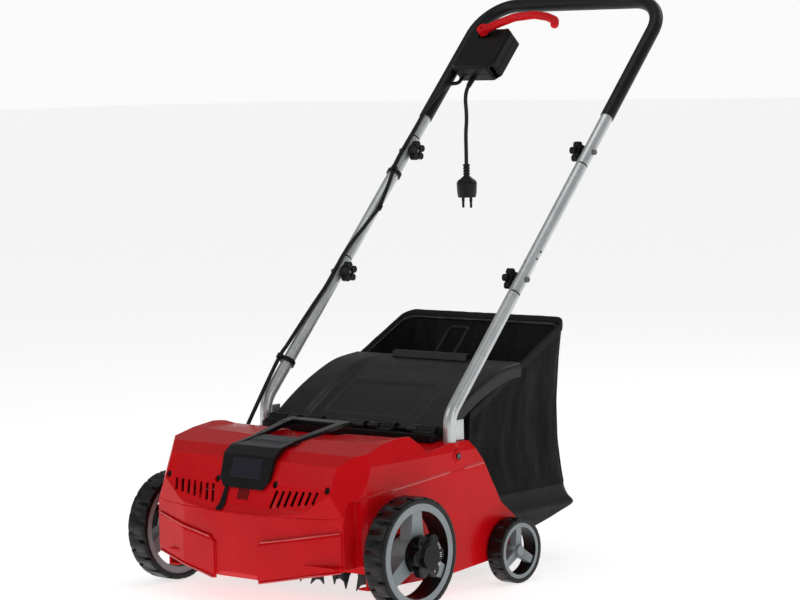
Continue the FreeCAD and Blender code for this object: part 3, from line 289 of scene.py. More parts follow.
RED = (0.60, 0.0025, 0.006), (0.68, 0.004, 0.008)
BLACK = (0.0030, 0.0030, 0.0034), (0.0065, 0.0065, 0.0072)
TUBE = (0.52, 0.545, 0.55), (0.64, 0.66, 0.665)
MATERIAL = {
    "red_plastic": moulded("red_plastic", *RED, (0.22, 0.30), 700, 0.02, 0.06, 0.12),
    "red_edge": moulded("red_edge", *RED, (0.10, 0.16), 700, 0.0, 0.9, 0.6),
    "red_control": moulded("red_control", *RED, (0.3, 0.42), 700, 0.03),
    "black_plastic": moulded("black_plastic", *BLACK, (0.36, 0.52)),
    "black_gloss": moulded("black_gloss", (0.004, 0.004, 0.005), (0.008, 0.008, 0.009),
                           (0.14, 0.22), relief=0.02, coat=0.2),
    "lid_plastic": moulded("lid_plastic", (0.0040, 0.0038, 0.0040), (0.0080, 0.0076, 0.0078),
                           (0.36, 0.48), 1200, 0.2, specular=0.4),
    "badge": moulded("badge", (0.004, 0.005, 0.012), (0.008, 0.009, 0.020), (0.08, 0.14),
                     relief=0.0, coat=0.8),
    "grey_insert": moulded("grey_insert", (0.050, 0.053, 0.060), (0.080, 0.084, 0.093),
                           (0.34, 0.46)),
    "motor_metal": metal("motor_metal", (0.05, 0.05, 0.055), (0.08, 0.08, 0.085), (0.35, 0.5),
                         metallic=0.6),
    "steel": metal("steel", (0.42, 0.42, 0.43), (0.6, 0.6, 0.61), (0.22, 0.38), (1, 8, 8)),
    "dark_steel": metal("dark_steel", (0.03, 0.03, 0.032), (0.08, 0.08, 0.085), (0.3, 0.5)),
    "black_nylon": moulded("black_nylon", *BLACK, (0.28, 0.42), relief=0.08),
    "belt_rubber": rubber("belt_rubber", (0.008, 0.008, 0.008), (0.02, 0.02, 0.02)),
    "bag_cloth": mesh_cloth("bag_cloth", 90.0, (0.0012, 0.0012, 0.0012), (0.020, 0.0205, 0.021)),
    "bag_plastic": moulded("bag_plastic", *BLACK, (0.42, 0.56), 900, 0.3),
    "bag_binding": rubber("bag_binding", *BLACK, (0.6, 0.8)),
    "grip_foam": rubber("grip_foam", *BLACK, (0.34, 0.5)),
    "bow_paint": metal("bow_paint", *TUBE, (0.26, 0.36), metallic=0.6),
    "tube_paint": metal("tube_paint", *TUBE, (0.26, 0.36), metallic=0.6),
    "screw_steel": metal("screw_steel", (0.10, 0.10, 0.105), (0.22, 0.22, 0.23), (0.3, 0.45)),
    "knob_plastic": moulded("knob_plastic", *BLACK, (0.3, 0.45), relief=0.08),
    "rim_plastic": moulded("rim_plastic", (0.26, 0.29, 0.305), (0.31, 0.345, 0.36),
                           (0.36, 0.5), relief=0.08),
    "tyre": rubber("tyre", BLACK[0], (0.009, 0.009, 0.0095), (0.28, 0.46)),
    "cable_rubber": rubber("cable_rubber", *BLACK, (0.38, 0.52)),
    "white_print": moulded("white_print", (0.6, 0.6, 0.6), (0.75, 0.75, 0.75), (0.4, 0.5),
                           relief=0.0),
    # painted shade: near-black that stands in for the shade in gaps, slots, hollows and the screws
    # deep in their wells
    "painted_shade": moulded("painted_shade", (0.002, 0.002, 0.002), (0.004, 0.004, 0.004), (0.6, 0.8)),
}
SHOWN_AS = {                    # nodes that show another material than their slot's
    # the cowl screws are coloured as the painted shade of their wells
    "carry_handle": "black_gloss", "lid_grip": "lid_plastic", "cowl_screws": "painted_shade",
    "hinge_rod": "black_plastic", "bag_carry_loop": "black_plastic", "rear_pins": "rim_plastic",
    "lid_spring": "dark_steel",
}


# ---- making pieces -----------------------------------------------------------------------
SMOOTH_ANGLE = 35.0             # degrees: edges of built pieces that stay crisp
SHARP_ANGLE = 30.0              # degrees: edges of CAD nodes that are rounded
WELD, SLIVER = 0.15, 0.05       # vertices merged, and edges dropped, below these lengths
FLAT_MERGE = 0.5                # degrees between faces that are merged
BEVEL_ROOM = 2.3                # shortest neighbouring edge, in bevel widths
FLAT_FACETED = {"top_cowl": 8.0, "lower_housing": 8.0, "carry_handle": 12.0}    # degrees
ROUNDED = {                     # bevel width and steps of each node shown with rounded edges
    "top_cowl": (1.0, 3), "lower_housing": (1.4, 3), "carry_handle": (2.2, 3),
    "badge_plate": (0.5, 2), "handle_insert": (0.8, 2), "hinge_bar": (1.2, 2),
    "lid_grip": (1.2, 3), "switch_front": (1.4, 3), "switch_back": (0.8, 3),
    "push_button": (0.5, 2), "bail_lever": (0.45, 2), "drum_knives": (0.25, 2),
    "cable_clip": (0.8, 2), "cable_hook": (0.8, 2), "leg_screws": (0.5, 2),
    "cowl_screws": (0.3, 2), "hinge_rod": (0.18, 2), "bag_carry_loop": (0.2, 1),
    "lower_bolts": (0.4, 2), "upper_bolts": (0.4, 2),
}
ROUNDED_PAIRS = {
    "lower_knob": 0.3, "upper_knob": 0.3, "depth_adjuster": 0.8, "front_rim": 0.7,
    "rear_rim": 0.7, "front_tyre": 1.6, "rear_tyre": 1.0,
}
SWELL = {"bail_lever": 1.8, "bag_carry_loop": 1.0}


def new_object(name, mesh, material, body):
    """Piece with a material and a slot, riding on a CAD body if one is given."""
    piece = bpy.data.objects.new(name, mesh)
    bpy.context.collection.objects.link(piece)
    mesh.materials.clear()
    mesh.materials.append(MATERIAL[material])
    if body:
        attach(piece, body)
    return piece


def smooth(mesh, angle=SMOOTH_ANGLE):
    """Round shading, with edges sharper than an angle kept."""
    mesh.shade_smooth()
    mesh.set_sharp_from_angle(angle=math.radians(angle))


def bevelled(piece, width, segments=2, angle=None):
    """Rounded edges that catch the light: the marked ones, or all sharper than an angle."""
    modifier = piece.modifiers.new("rounded_edges", "BEVEL")
    modifier.width, modifier.segments = width * MM, segments
    if angle is None:
        modifier.limit_method, modifier.use_clamp_overlap = "WEIGHT", False
    else:
        modifier.limit_method, modifier.angle_limit = "ANGLE", math.radians(angle)
    modifier.harden_normals = True
    modifier.miter_outer = "MITER_ARC"


def mark_roomy_edges(bm, width, angle):
    """Marks the sharp edges whose neighbours leave room for a bevel of a given width."""
    weight = bm.edges.layers.float.new("bevel_weight_edge")
    for edge in bm.edges:
        if len(edge.link_faces) != 2 or edge.calc_face_angle() < math.radians(angle):
            continue
        shortest = min(other.calc_length() for vert in edge.verts for other in vert.link_edges)
        if shortest > BEVEL_ROOM * width * MM:
            edge[weight] = 1.0


def rounded_copy(node, width, segments):
    """The CAD node's own form with rounded edges, standing in for it."""
    bm = bmesh.new()
    bm.from_mesh(frame["nodes"][node].data)
    bmesh.ops.remove_doubles(bm, verts=bm.verts, dist=WELD * MM)
    bmesh.ops.dissolve_degenerate(bm, edges=bm.edges, dist=SLIVER * MM)
    bmesh.ops.dissolve_limit(bm, angle_limit=math.radians(FLAT_MERGE), verts=bm.verts,
                             edges=bm.edges)
    crisp = FLAT_FACETED.get(node, SHARP_ANGLE)
    mark_roomy_edges(bm, width, crisp)
    mesh = bpy.data.meshes.new(node + "_form")
    bm.to_mesh(mesh)
    bm.free()
    smooth(mesh, crisp)
    slot = SLOT_OF[node]
    piece = new_object(node + "_form", mesh, SHOWN_AS.get(node, slot), BODY_OF[node])
    bevelled(piece, width, segments)
    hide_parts(node)


def swell(node, by):
    """Swells a node's rounded copy to its full moulded section."""
    piece = bpy.data.objects[node + "_form"]
    modifier = piece.modifiers.new("section", "DISPLACE")
    modifier.strength, modifier.mid_level = by * MM, 0.0
    piece.modifiers.move(len(piece.modifiers) - 1, 0)


def rounded_nodes():
    """Rounded copies of the CAD nodes whose form is right."""
    for node, (width, segments) in ROUNDED.items():
        rounded_copy(node, width, segments)
    for _, side in SIDES:
        for part, width in ROUNDED_PAIRS.items():
            rounded_copy("%s_%s" % (part, side), width, 2)
    for node, by in SWELL.items():
        swell(node, by)


# ---- shapes ------------------------------------------------------------------------------
def through(points, per_span):
    """Points on a smooth curve through the given ones."""
    points = [Vector(p) for p in points]
    line = []
    for i, (a, b) in enumerate(zip(points, points[1:])):
        before = points[i - 1] if i else a * 2 - b
        after = points[i + 2] if i + 2 < len(points) else b * 2 - a
        for k in range(per_span):
            t = k / per_span
            line.append(0.5 * (2 * a + (b - before) * t
                               + (2 * before - 5 * a + 4 * b - after) * t ** 2
                               + (3 * a - before - 3 * b + after) * t ** 3))
    return line + [points[-1]]


def value_at(curve, x):
    """Second coordinate of a curve at a first one."""
    for (x0, y0), (x1, y1) in zip(curve, curve[1:]):
        if x <= x1:
            break
    return y0 + (y1 - y0) * max(0.0, min(1.0, (x - x0) / (x1 - x0)))


def ease(value):
    """Smooth step from 0 to 1."""
    value = max(0.0, min(1.0, value))
    return value * value * (3 - 2 * value)


def add_skin(bm, rows, closed=False, capped=False):
    """Quads over rows of points."""
    grid = [[bm.verts.new(p) for p in row] for row in rows]
    for one, two in zip(grid, grid[1:]):
        for i in range(len(one) if closed else len(one) - 1):
            j = (i + 1) % len(one)
            bm.faces.new((one[i], one[j], two[j], two[i]))
    if capped:
        bm.faces.new(grid[0])
        bm.faces.new(list(reversed(grid[-1])))


def circle_angles(count):
    """Evenly spaced angles round a circle."""
    return [2 * math.pi * k / count for k in range(count)]


def add_sweep(bm, path, radius, sides=14):
    """Round bar along a path, its radius in metres; a list gives one for each point."""
    path = [Vector(p) for p in path]
    radii = radius if isinstance(radius, list) else [radius] * len(path)
    ahead = (path[1] - path[0]).normalized()
    across = ahead.orthogonal().normalized()
    rows = []
    for i, point in enumerate(path):
        ahead = (path[min(i + 1, len(path) - 1)] - path[max(i - 1, 0)]).normalized()
        across = (across - ahead * across.dot(ahead)).normalized()
        other = ahead.cross(across)
        rows.append([point + (across * math.cos(t) + other * math.sin(t)) * radii[i]
                     for t in circle_angles(sides)])
    add_skin(bm, rows, closed=True, capped=True)


def tapered_sweep(bm, path, end_radius, radius, sides):
    """Round bar with thinner ends."""
    radii = [end_radius * MM] + [radius * MM] * (len(path) - 2) + [end_radius * MM]
    add_sweep(bm, path, radii, sides)


def add_lathe(bm, centre, axis, profile, sides=32, capped=True):
    """Turned form from distances along its axis and radii."""
    axis = Vector(axis).normalized()
    across = axis.orthogonal().normalized()
    other = axis.cross(across)
    rows = [[Vector(centre) + axis * (d * MM)
             + (across * math.cos(t) + other * math.sin(t)) * (r * MM)
             for t in circle_angles(sides)] for d, r in profile]
    add_skin(bm, rows, closed=True, capped=capped)


def add_block(bm, low, high):
    """Block between two corners."""
    for vert in bmesh.ops.create_cube(bm, size=1.0)["verts"]:
        vert.co = (low + high) / 2 + Vector(a * b for a, b in zip(vert.co, high - low))


def built(name, material, body, make, turn_out=True):
    """Piece from a function that fills a bmesh."""
    bm = bmesh.new()
    make(bm)
    if turn_out:
        bmesh.ops.recalc_face_normals(bm, faces=bm.faces)
    mesh = bpy.data.meshes.new(name)
    bm.to_mesh(mesh)
    bm.free()
    smooth(mesh)
    return new_object(name, mesh, material, body)


def thickened(piece, thickness):
    """Sheet given its wall, inwards."""
    modifier = piece.modifiers.new("wall", "SOLIDIFY")
    modifier.thickness, modifier.offset = thickness * MM, -1.0
    modifier.use_even_offset = True


# ---- deflector lid -----------------------------------------------------------------------
LID_TOP = through([(181, 271), (184, 279), (200, 293.5), (249, 323.5), (300, 347.5), (344, 362),
                   (398, 368.5)], 12)                           # y and z along the middle
LID_EDGE = through([(181, 262), (205, 268), (225, 280), (262, 302), (300, 320), (340, 334),
                    (372, 342), (399, 343)], 6)                 # y and z of the side walls' foot
LID_AXIS = (172.0, 272.0)                                       # y and z
LID_WALL = 3.0
SHOULDER_IN, SHOULDER_OUT = 118.0, 131.0                        # slope from the middle to the sides
SHOULDER_DROP = 9.0                                             # of the middle
SHOULDER_START, SHOULDER_END = (180, 9), (318, 62)              # y and length of its fading
PANEL_HALF, PANEL_START, PANEL_END = 98.0, 203.0, 286.0         # sunk panel
PANEL_DEPTH, PANEL_STEP_X, PANEL_STEP_Y = 2.2, 1.5, 3
LID_X = (0, 20, 40, 60, 80, 94, 97, 98.5, 100, 108, 116, 118, 121, 124.5, 128, 131, 133, 145,
         160, 175, 184, 188)
LID_CORNER = ((190.8, 0.8), (192.8, 2.6), (194.0, 6))           # x and drop from the top
KNUCKLES = ((-150, -128), (-30, 30), (128, 150))                # x of each one's ends


def lid_height(x, y, top):
    """Lid's upper surface, with its shoulders and sunk panel."""
    drop = (SHOULDER_DROP * (1 - ease((y - SHOULDER_END[0]) / SHOULDER_END[1]))
            * ease((y - SHOULDER_START[0]) / SHOULDER_START[1]))
    low = 1 - ease((x - SHOULDER_IN) / (SHOULDER_OUT - SHOULDER_IN))
    panel = (ease((PANEL_HALF - x) / PANEL_STEP_X) * ease((y - PANEL_START) / PANEL_STEP_Y)
             * ease((PANEL_END - y) / PANEL_STEP_Y))
    return top - drop * low - PANEL_DEPTH * panel


def make_lid(bm):
    """Curved plate with turned-down sides."""
    lid_half, corner_drop = LID_CORNER[-1]
    rows = []
    for y, top in LID_TOP:
        half = [(x, lid_height(x, y, top)) for x in LID_X]
        half += [(x, top - down) for x, down in LID_CORNER]
        depth = max(top - corner_drop - value_at(LID_EDGE, y), 0.5)
        half += [(lid_half, top - corner_drop - depth * k / 4) for k in (1, 2, 3, 4)]
        rows.append([at(-x, y, z) for x, z in reversed(half[1:])] + [at(x, y, z) for x, z in half])
    add_skin(bm, rows)


def make_knuckles(bm):
    """Hinge barrels on the rod, each with a web to the lid."""
    for x0, x1 in KNUCKLES:
        tapered_sweep(bm, [at(x, *LID_AXIS) for x in (x0, x0 + 0.8, x1 - 0.8, x1)], 8.2, 9, 28)
        add_block(bm, at(x0, LID_AXIS[0] + 2, 264), at(x1, 187, 277))


def deflector_lid():
    lid = built("lid_shell", "lid_plastic", "lid", make_lid, turn_out=False)
    thickened(lid, LID_WALL)
    bevelled(lid, 0.7, angle=45)
    built("lid_knuckles", "lid_plastic", "lid", make_knuckles)
    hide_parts("deflector_lid")


# ---- grass bag ---------------------------------------------------------------------------
BAG_FRONT, BAG_HALF, CORNER_R = 262.0, 187.0, 24.0
RIM_REAR, RIM_TOP_Z, BAG_SPLIT_Z = 541, 434, 138.0              # the cloth ends at the split
BAG_REAR = ((66, 540), (138, 538.4), (160, 533), (220, 524), (290, 523), (370, 531), (434, 541))
RIM_SLOPE = ((262, 293.5), (541, 434))                          # y and z
BELLY = 2.5                                                     # how far the side walls sink in
CLOTH_ROWS, SEAM_POINTS = 56, 25
SIDE_STEPS, CORNER_STEPS, REAR_STEPS = 44, 7, 26                # the last over half the rear wall
SEAM_START, SEAM_RUN = 0.03, 0.96                               # shares of the way down
WELT_R, BINDING_R = 1.7, 2.6
CLOTH_WALL, TRAY_WALL = 1.6, 3.0
HEM = ((-4.2, -13), (-4.4, -7), (-4.0, -1), (-2.2, 1.6), (0.6, 1.8), (2.0, 0), (2.2, -6),
       (1.6, -13))                                              # out and up from the rim
TRAY = ((141, 538, 187.4, 24), (132, 540, 187.6, 24), (120, 546, 188.4, 23),
        (112, 553, 189.5, 22), (107, 558, 190.5, 21), (102, 558.5, 190.5, 20),
        (97, 552, 188.5, 20), (90, 528, 187, 22), (82, 500, 186, 24), (74, 470, 184, 26),
        (68, 448, 180, 28), (66, 438, 174, 28))                 # z, rear, half width, corner radius


def bag_ring(half, rear, radius=CORNER_R):
    """Plan outline round three sides, from the left front to the right front."""
    left = [(-half, BAG_FRONT + (rear - radius - BAG_FRONT) * i / SIDE_STEPS)
            for i in range(SIDE_STEPS)]
    left += [(-half + radius - radius * math.cos(t), rear - radius + radius * math.sin(t))
             for t in (math.pi / 2 * k / CORNER_STEPS for k in range(CORNER_STEPS + 1))]
    left += [(-(half - radius) * (1 - i / REAR_STEPS), rear) for i in range(1, REAR_STEPS + 1)]
    return left + [(-x, y) for x, y in reversed(left[:-1])]


def outward(ring, i):
    """Unit direction out of a plan outline at one of its points."""
    (x0, y0), (x1, y1) = ring[max(i - 1, 0)], ring[min(i + 1, len(ring) - 1)]
    run = math.hypot(x1 - x0, y1 - y0)
    return -(y1 - y0) / run, (x1 - x0) / run


def belly_at(share):
    """How much of the full sag the cloth has at a share of the way down."""
    return math.sin(math.pi * share) ** 0.8


def rear_at(share):
    """Rear wall's y at a share of the way down the cloth."""
    return value_at(BAG_REAR, RIM_TOP_Z + (BAG_SPLIT_Z - RIM_TOP_Z) * share)


def cloth_z(rim_y, share):
    """Height at a share of the way down the cloth from the rim."""
    top = value_at(RIM_SLOPE, rim_y)
    return top + (BAG_SPLIT_Z - top) * share


def fold_depth(along, z):
    """How far pleats, creases and slump move the cloth out of its wall."""
    pleat = noise.noise((along / 26, z / 170, 3.1)) * 3.4
    crease = noise.noise((along / 11, z / 90, 8.7)) * 1.5
    slump = noise.noise((along / 70, z / 60, 5.3)) * 2.2
    return pleat + crease + slump - 1.5


def make_cloth(bm):
    """Three walls of cloth, held at the rim, the base and the front edges."""
    rim = bag_ring(BAG_HALF, RIM_REAR)
    rows = []
    for r in range(CLOTH_ROWS + 1):
        share = r / CLOTH_ROWS
        belly = belly_at(share)
        ring = bag_ring(BAG_HALF - BELLY * belly, rear_at(share))
        row, along = [], 0.0
        for i, ((x, y), (_, rim_y)) in enumerate(zip(ring, rim)):
            if i:
                along += math.hypot(x - ring[i - 1][0], y - ring[i - 1][1])
            z = cloth_z(rim_y, share)
            hold = belly * min(1.0, min(i, len(ring) - 1 - i) / 6)
            out_x, out_y = outward(ring, i)
            move = fold_depth(along, z) * hold
            row.append(at(x + out_x * move, y + out_y * move, z))
        rows.append(row)
    add_skin(bm, rows)


def make_hem(bm):
    """Folded band over the rim wire."""
    ring = bag_ring(BAG_HALF, RIM_REAR)
    rows = []
    for i, (x, y) in enumerate(ring):
        out_x, out_y = outward(ring, i)
        sway = 0.5 * noise.noise((x / 20, y / 20, 1.7))
        z = value_at(RIM_SLOPE, y)
        rows.append([at(x + out_x * (out + sway), y + out_y * (out + sway), z + up + sway)
                     for out, up in HEM])
    add_skin(bm, rows, closed=True, capped=True)


def make_seams(bm):
    """Welts down the rear corners and bindings down the front edges."""
    tuck = CORNER_R * (1 - math.sqrt(0.5))
    for side in (-1, 1):
        for back in (True, False):
            path = []
            for k in range(SEAM_POINTS):
                share = SEAM_START + SEAM_RUN * k / (SEAM_POINTS - 1)
                belly = BELLY * belly_at(share)
                if back:
                    x, y = BAG_HALF - belly - tuck, rear_at(share) - tuck
                    z = cloth_z(RIM_REAR - tuck, share)
                else:
                    x, y = BAG_HALF - belly, BAG_FRONT + 1
                    z = cloth_z(y, share)
                path.append(at(side * x, y, z))
            add_sweep(bm, path, (WELT_R if back else BINDING_R) * MM, 8)


def make_tray(bm):
    """Moulded base with a flared lip at its lower rear."""
    rows = []
    for z, rear, half, radius in through(TRAY, 3):
        rows.append([at(x, y, z + 0.5 * noise.noise((x / 60, y / 60, z / 40)))
                     for x, y in bag_ring(half, rear, radius)])
    add_skin(bm, rows)


def grass_bag():
    cloth = built("bag_walls", "bag_cloth", "bag", make_cloth, turn_out=False)
    thickened(cloth, CLOTH_WALL)
    built("bag_hem", "bag_binding", "bag", make_hem)
    built("bag_seams", "bag_binding", "bag", make_seams)
    tray = built("bag_tray", "bag_plastic", "bag", make_tray, turn_out=False)
    thickened(tray, TRAY_WALL)
    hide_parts("bag_fabric")
    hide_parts("bag_base")


# ---- cables ------------------------------------------------------------------------------
LEAD_DIAMETER = 7.4 * MM
LEAD_ROUTE = (arm(-160, 756, -8), arm(-160.5, 739, -9.5), at(-160.2, 693, 790),
              at(-161.5, 690, 757), at(-162.6, 691.8, 724), at(-163, 692, 700))
LEAD_EXIT, PLUG_NECK = LEAD_ROUTE[0], LEAD_ROUTE[-1]
RELIEF_START = arm(-160, 782, -8)                               # inside the switch box
PLUG_BODY = [(24, 7.4), (27, 10.5), (31, 16.5), (35, 19.0), (38, 19.4), (56, 18.4), (58, 17.6),
             (62.5, 17.4), (63.6, 16.4)]
PLUG_PIN = [(0, 2.9), (10, 2.9), (10.2, 2.4), (20.4, 2.4), (21.4, 1.6)]
PIN_APART, PIN_START = 9.5, 62                                  # from the plug's middle and neck
NECK_RIBS, NECK_PITCH = 4, 5.2
RELIEF_RIBS, RELIEF_R, RELIEF_TAPER = 6, 5.9, 1.1
CABLE_R = 3.6
CABLE_X, CABLE_OUT = -206, 15.5                                 # beside a hinge
HINGE_CLEAR = 42                                                # straight length by a hinge
MID_TIE = arm(-197.5, HINGE_1 + 150, 4)
CABLE_BELOW = [
    at(-198, 106, 247), at(-200.5, 112, 257), arm(-221, 76, 15.5), arm(-219, 118, 15.5),
    arm(-212, 200, 15.5), arm(CABLE_X, HINGE_1 - HINGE_CLEAR, CABLE_OUT),
    arm(CABLE_X, HINGE_1, 16.5), arm(CABLE_X, HINGE_1 + HINGE_CLEAR, CABLE_OUT),
    arm(-200.5, HINGE_1 + 90, 12), MID_TIE]
CABLE_ABOVE = [
    MID_TIE, arm(-200.5, HINGE_2 - 90, 10), arm(CABLE_X, HINGE_2 - HINGE_CLEAR, CABLE_OUT),
    arm(CABLE_X, HINGE_2, 16.5), arm(CABLE_X, HINGE_2 + HINGE_CLEAR, CABLE_OUT),
    arm(-204, 680, 16.5), arm(-196, 740, 10), arm(-188, 764, -6), arm(-188, 780, -8)]


def lead_line():
    """Lead hanging from the switch box by its own weight, and its length in metres."""
    curve = bpy.data.curves.new("plug_lead_line", "CURVE")
    curve.dimensions = "3D"
    spline = curve.splines.new("NURBS")
    spline.points.add(len(LEAD_ROUTE) - 1)
    for point, place in zip(spline.points, LEAD_ROUTE):
        point.co = (*place, 1)
    spline.order_u = 3
    spline.use_endpoint_u = True
    spline.resolution_u = 12
    curve.resolution_u = 12
    lead = bpy.data.objects.new("plug_lead_line", curve)
    bpy.context.collection.objects.link(lead)
    path = [vert.co for vert in bpy.data.meshes.new_from_object(lead).vertices]
    length = sum((b - a).length for a, b in zip(path, path[1:]))
    curve.bevel_depth, curve.bevel_resolution = LEAD_DIAMETER / 2, 5
    curve.use_fill_caps = True
    curve.materials.append(MATERIAL["cable_rubber"])
    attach(lead, "handle_upper")
    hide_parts("plug_lead")
    return lead, length


def make_plug(bm):
    """Round two-pin plug with a ribbed neck."""
    neck = [(0.2, 3.9), (0.6, 6.4)]
    for rib in range(NECK_RIBS):
        neck += [(start + rib * NECK_PITCH, r)
                 for start, r in ((2, 6.6), (4.6, 6.6), (5.2, 5.4), (6.6, 5.4))]
    add_lathe(bm, PLUG_NECK, (0, 0, -1), neck + PLUG_BODY)
    for side in (-1, 1):
        foot = PLUG_NECK + Vector((side * PIN_APART, 0, -PIN_START)) * MM
        add_lathe(bm, foot, (0, 0, -1), PLUG_PIN, 16)


def make_relief(bm):
    """Tapered, ribbed sleeve at the lead's exit."""
    length = (RELIEF_START - LEAD_EXIT).length / MM
    profile = [(0, RELIEF_R)]
    for rib in range(RELIEF_RIBS):
        d = 4 + rib * (length - 5) / RELIEF_RIBS
        r = RELIEF_R - RELIEF_TAPER * rib / RELIEF_RIBS
        profile += [(d, r), (d + 0.4, r - 0.9), (d + 1.7, r - 0.9), (d + 2.1, r - 0.1)]
    profile += [(length - 0.3, 4.5), (length, 4.0)]
    add_lathe(bm, RELIEF_START, LEAD_EXIT - RELIEF_START, profile, 24)


def make_tie(bm):
    """Three rings that hold the cable to the middle tube."""
    along = (arm(0, 1) - arm(0, 0)).normalized()
    for offset in (-3.5, 0, 3.5):
        add_lathe(bm, MID_TIE + along * (offset * MM), along,
                  [(-1.6, 3.6), (-1.3, 5.0), (1.3, 5.0), (1.6, 3.6)], 20)


def plug_lead():
    """Lead with its plug and strain relief."""
    lead, length = lead_line()
    plug = built("plug_body", "cable_rubber", "handle_upper", make_plug)
    relief = built("lead_relief", "cable_rubber", "handle_upper", make_relief)
    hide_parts("plug")
    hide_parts("strain_relief")


def cable_piece(name, route, nodes):
    """Motor cable past one fold, running there from one body to the next; it rides on no body."""
    piece = built(name, "cable_rubber", None,
                  lambda bm: add_sweep(bm, through(route, 14), CABLE_R * MM, 12))
    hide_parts(*nodes)
    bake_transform(piece)


def cables():
    plug_lead()
    cable_piece("motor_cable_below", CABLE_BELOW,
                ("cable_lower", "cable_middle"))
    cable_piece("motor_cable_above", CABLE_ABOVE,
                ("cable_upper",))
    built("cable_tie", "black_plastic", "handle_middle", make_tie)


# ---- small details and painted shade on the body and wheels ------------------------------
CREASES = (((-63, 190.5), (40, 198.5), (160, 208)), ((192, 210), (225, 212.2), (247, 214)))
CREASE_X, BOSS_X, BOSS_Z = 229.6, 229.9, 232
LEDGES = (((58, -130, 112), (130, -121, 123.5), (209, -99, 137)),
          ((51, -130, 43), (130, -121, 58), (209, -99, 72)))
BOSS = [(0, 11.5), (1.6, 10.8), (2.3, 9.6), (2.3, 7.4), (1.2, 6.4), (0.2, 6.2)]
GROOVE = ((-124.8, 158, -49, -34), (-114.4, 169, -47, -34), (-102.3, 201, -42, -35))
SLITS, SLIT_PITCH, SLIT_HALF = 6, 4.4, 1.3
SLIT_Z = (176.5, 197.5)
NOSE_FACE = ((168, -113), (205, -99))                           # z and y
GROOVE_PROUD, SLIT_PROUD, WELL_PROUD = 0.6, 0.35, 0.25          # of the painted shade sheets, in front of the CAD surface
WELL_X, WELL_Z, WELL_WIDE, WELL_HIGH = 45, 231, 3.2, 9.5
HANDLE_FACE = ((195, -108), (249, -91))                         # z and y
DIAL_X, DIAL_MARKS = 312.1, (27.5, 32)                          # face, and radii of its marks
FIRST_MARK, MARK_PITCH, STROKE_PITCH = -62, 30, 6               # degrees round the dial
BARRELS = (("front", FRONT_AXLE, 60), ("rear", REAR_AXLE, 33))  # with the least radius
FACING_IN = 0.8                                                 # cosine to the way to the axle


def make_creases(bm):
    """Raised line along the seam on both side panels, broken by the screw boss."""
    for side in (-1, 1):
        for run in CREASES:
            path = through([at(side * CREASE_X, y, z) for y, z in run], 8)
            tapered_sweep(bm, path, 0.6, 2.6, 10)


def make_ledges(bm):
    """Rounded edges along the top and foot of each bumper block."""
    for side in (-1, 1):
        for run in LEDGES:
            path = [at(side * x, y, z) for x, y, z in run]
            path[1:1] = [path[0].lerp(path[1], 0.03)]
            path[-1:] = [path[-2].lerp(path[-1], 0.97), path[-1]]
            tapered_sweep(bm, path, 0.5, 1.7, 12)


def make_bosses(bm):
    """Raised collar round each leg screw."""
    for side in (-1, 1):
        add_lathe(bm, at(side * BOSS_X, LEG_Y, BOSS_Z), (side, 0, 0), BOSS, capped=False)


def make_groove_shade(bm):
    """Painted shade of the upright gap beside the middle grille: a dark sheet just in front of the
    surface, wider towards its foot.
    """
    add_skin(bm, [[at(left, y - GROOVE_PROUD, z), at(right, y - GROOVE_PROUD, z)]
                  for y, z, left, right in GROOVE])


def make_grille_shade(bm):
    """Painted shade for the depth of the fine slots in the middle of the nose: dark sheets just in
    front of the surface.
    """
    for slit in range(SLITS):
        x = (slit - (SLITS - 1) / 2) * SLIT_PITCH
        rows = []
        for z in SLIT_Z:
            y = value_at(NOSE_FACE, z) - SLIT_PROUD
            rows.append([at(x - SLIT_HALF, y, z), at(x + SLIT_HALF, y, z)])
        add_skin(bm, rows)


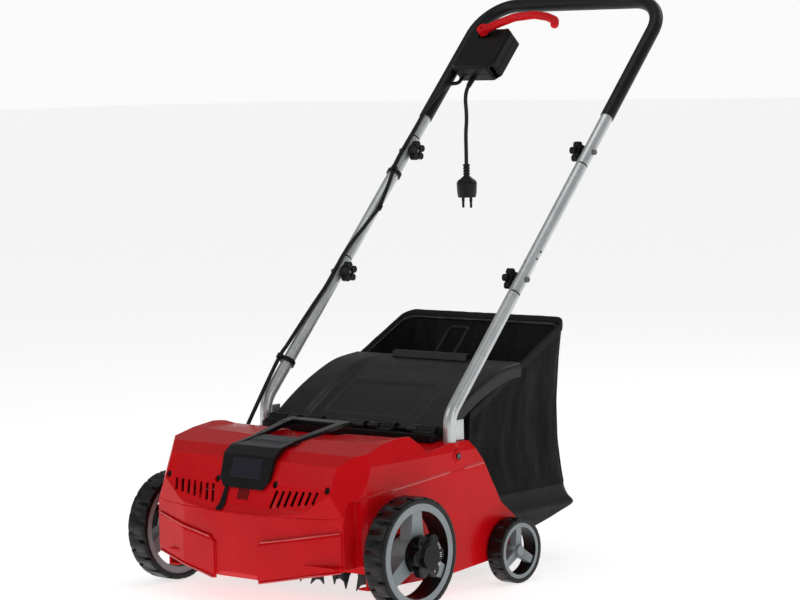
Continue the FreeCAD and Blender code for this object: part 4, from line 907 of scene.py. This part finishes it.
def make_finger_well_shade(bm):
    """Painted shade of the oval hollows each side of the plate on the carry handle's front: flat
    dark ovals just in front of the surface.
    """
    for side in (-1, 1):
        rim = []
        for turn in circle_angles(24):
            z = WELL_Z + WELL_HIGH * math.sin(turn)
            rim.append(at(side * WELL_X + WELL_WIDE * math.cos(turn),
                          value_at(HANDLE_FACE, z) - WELL_PROUD, z))
        bm.faces.new([bm.verts.new(p) for p in rim])


def make_marks(side):
    """Filler for the one to four strokes at each position of a depth dial."""
    def fill(bm):
        for mark in range(4):
            for stroke in range(mark + 1):
                turn = math.radians(FIRST_MARK + mark * MARK_PITCH
                                    + (stroke - mark / 2) * STROKE_PITCH)
                ends = [at(side * DIAL_X, r * math.cos(turn), FRONT_AXLE[1] + r * math.sin(turn))
                        for r in DIAL_MARKS]
                add_sweep(bm, ends, 0.7 * MM, 6)
    return fill


def paint_barrel_shade():
    """Painted shade on the inside of each wheel rim, behind its spokes: faces turned towards the
    axle take the tyre's black.
    """
    for wheel, axle, least in BARRELS:
        for _, side in SIDES:
            mesh = bpy.data.objects["%s_rim_%s_form" % (wheel, side)].data
            mesh.materials.append(MATERIAL["tyre"])
            middle = at(0, *axle)
            for face in mesh.polygons:
                out = face.center - middle
                out.x = 0
                inward = -face.normal.dot(out.normalized())
                if inward > FACING_IN and out.length > least * MM:
                    face.material_index = 1


def body_details():
    built("side_creases", "red_edge", "chassis", make_creases)
    built("bumper_ledges", "red_edge", "chassis", make_ledges)
    built("screw_bosses", "red_plastic", "chassis", make_bosses)
    # dark sheets of painted shade for the nose groove, the grille's slots and the finger wells
    built("nose_groove_shade", "painted_shade", "chassis", make_groove_shade)
    built("nose_grille_shade", "painted_shade", "chassis", make_grille_shade)
    built("handle_well_shade", "painted_shade", "chassis", make_finger_well_shade)
    for side, name in SIDES:
        built("dial_marks_" + name, "white_print", "adjuster_" + name,
              make_marks(side))


def dress_cad_nodes():
    """Materials for the CAD nodes that are shown as they are."""
    for node, obj in frame["nodes"].items():
        for material_slot in obj.material_slots:
            material_slot.material = MATERIAL[SHOWN_AS.get(node, SLOT_OF[node])]


place_camera()
cables()
studio()
rounded_nodes()
# painted shade inside the wheel rims, behind the spokes
paint_barrel_shade()
deflector_lid()
grass_bag()
body_details()
dress_cad_nodes()
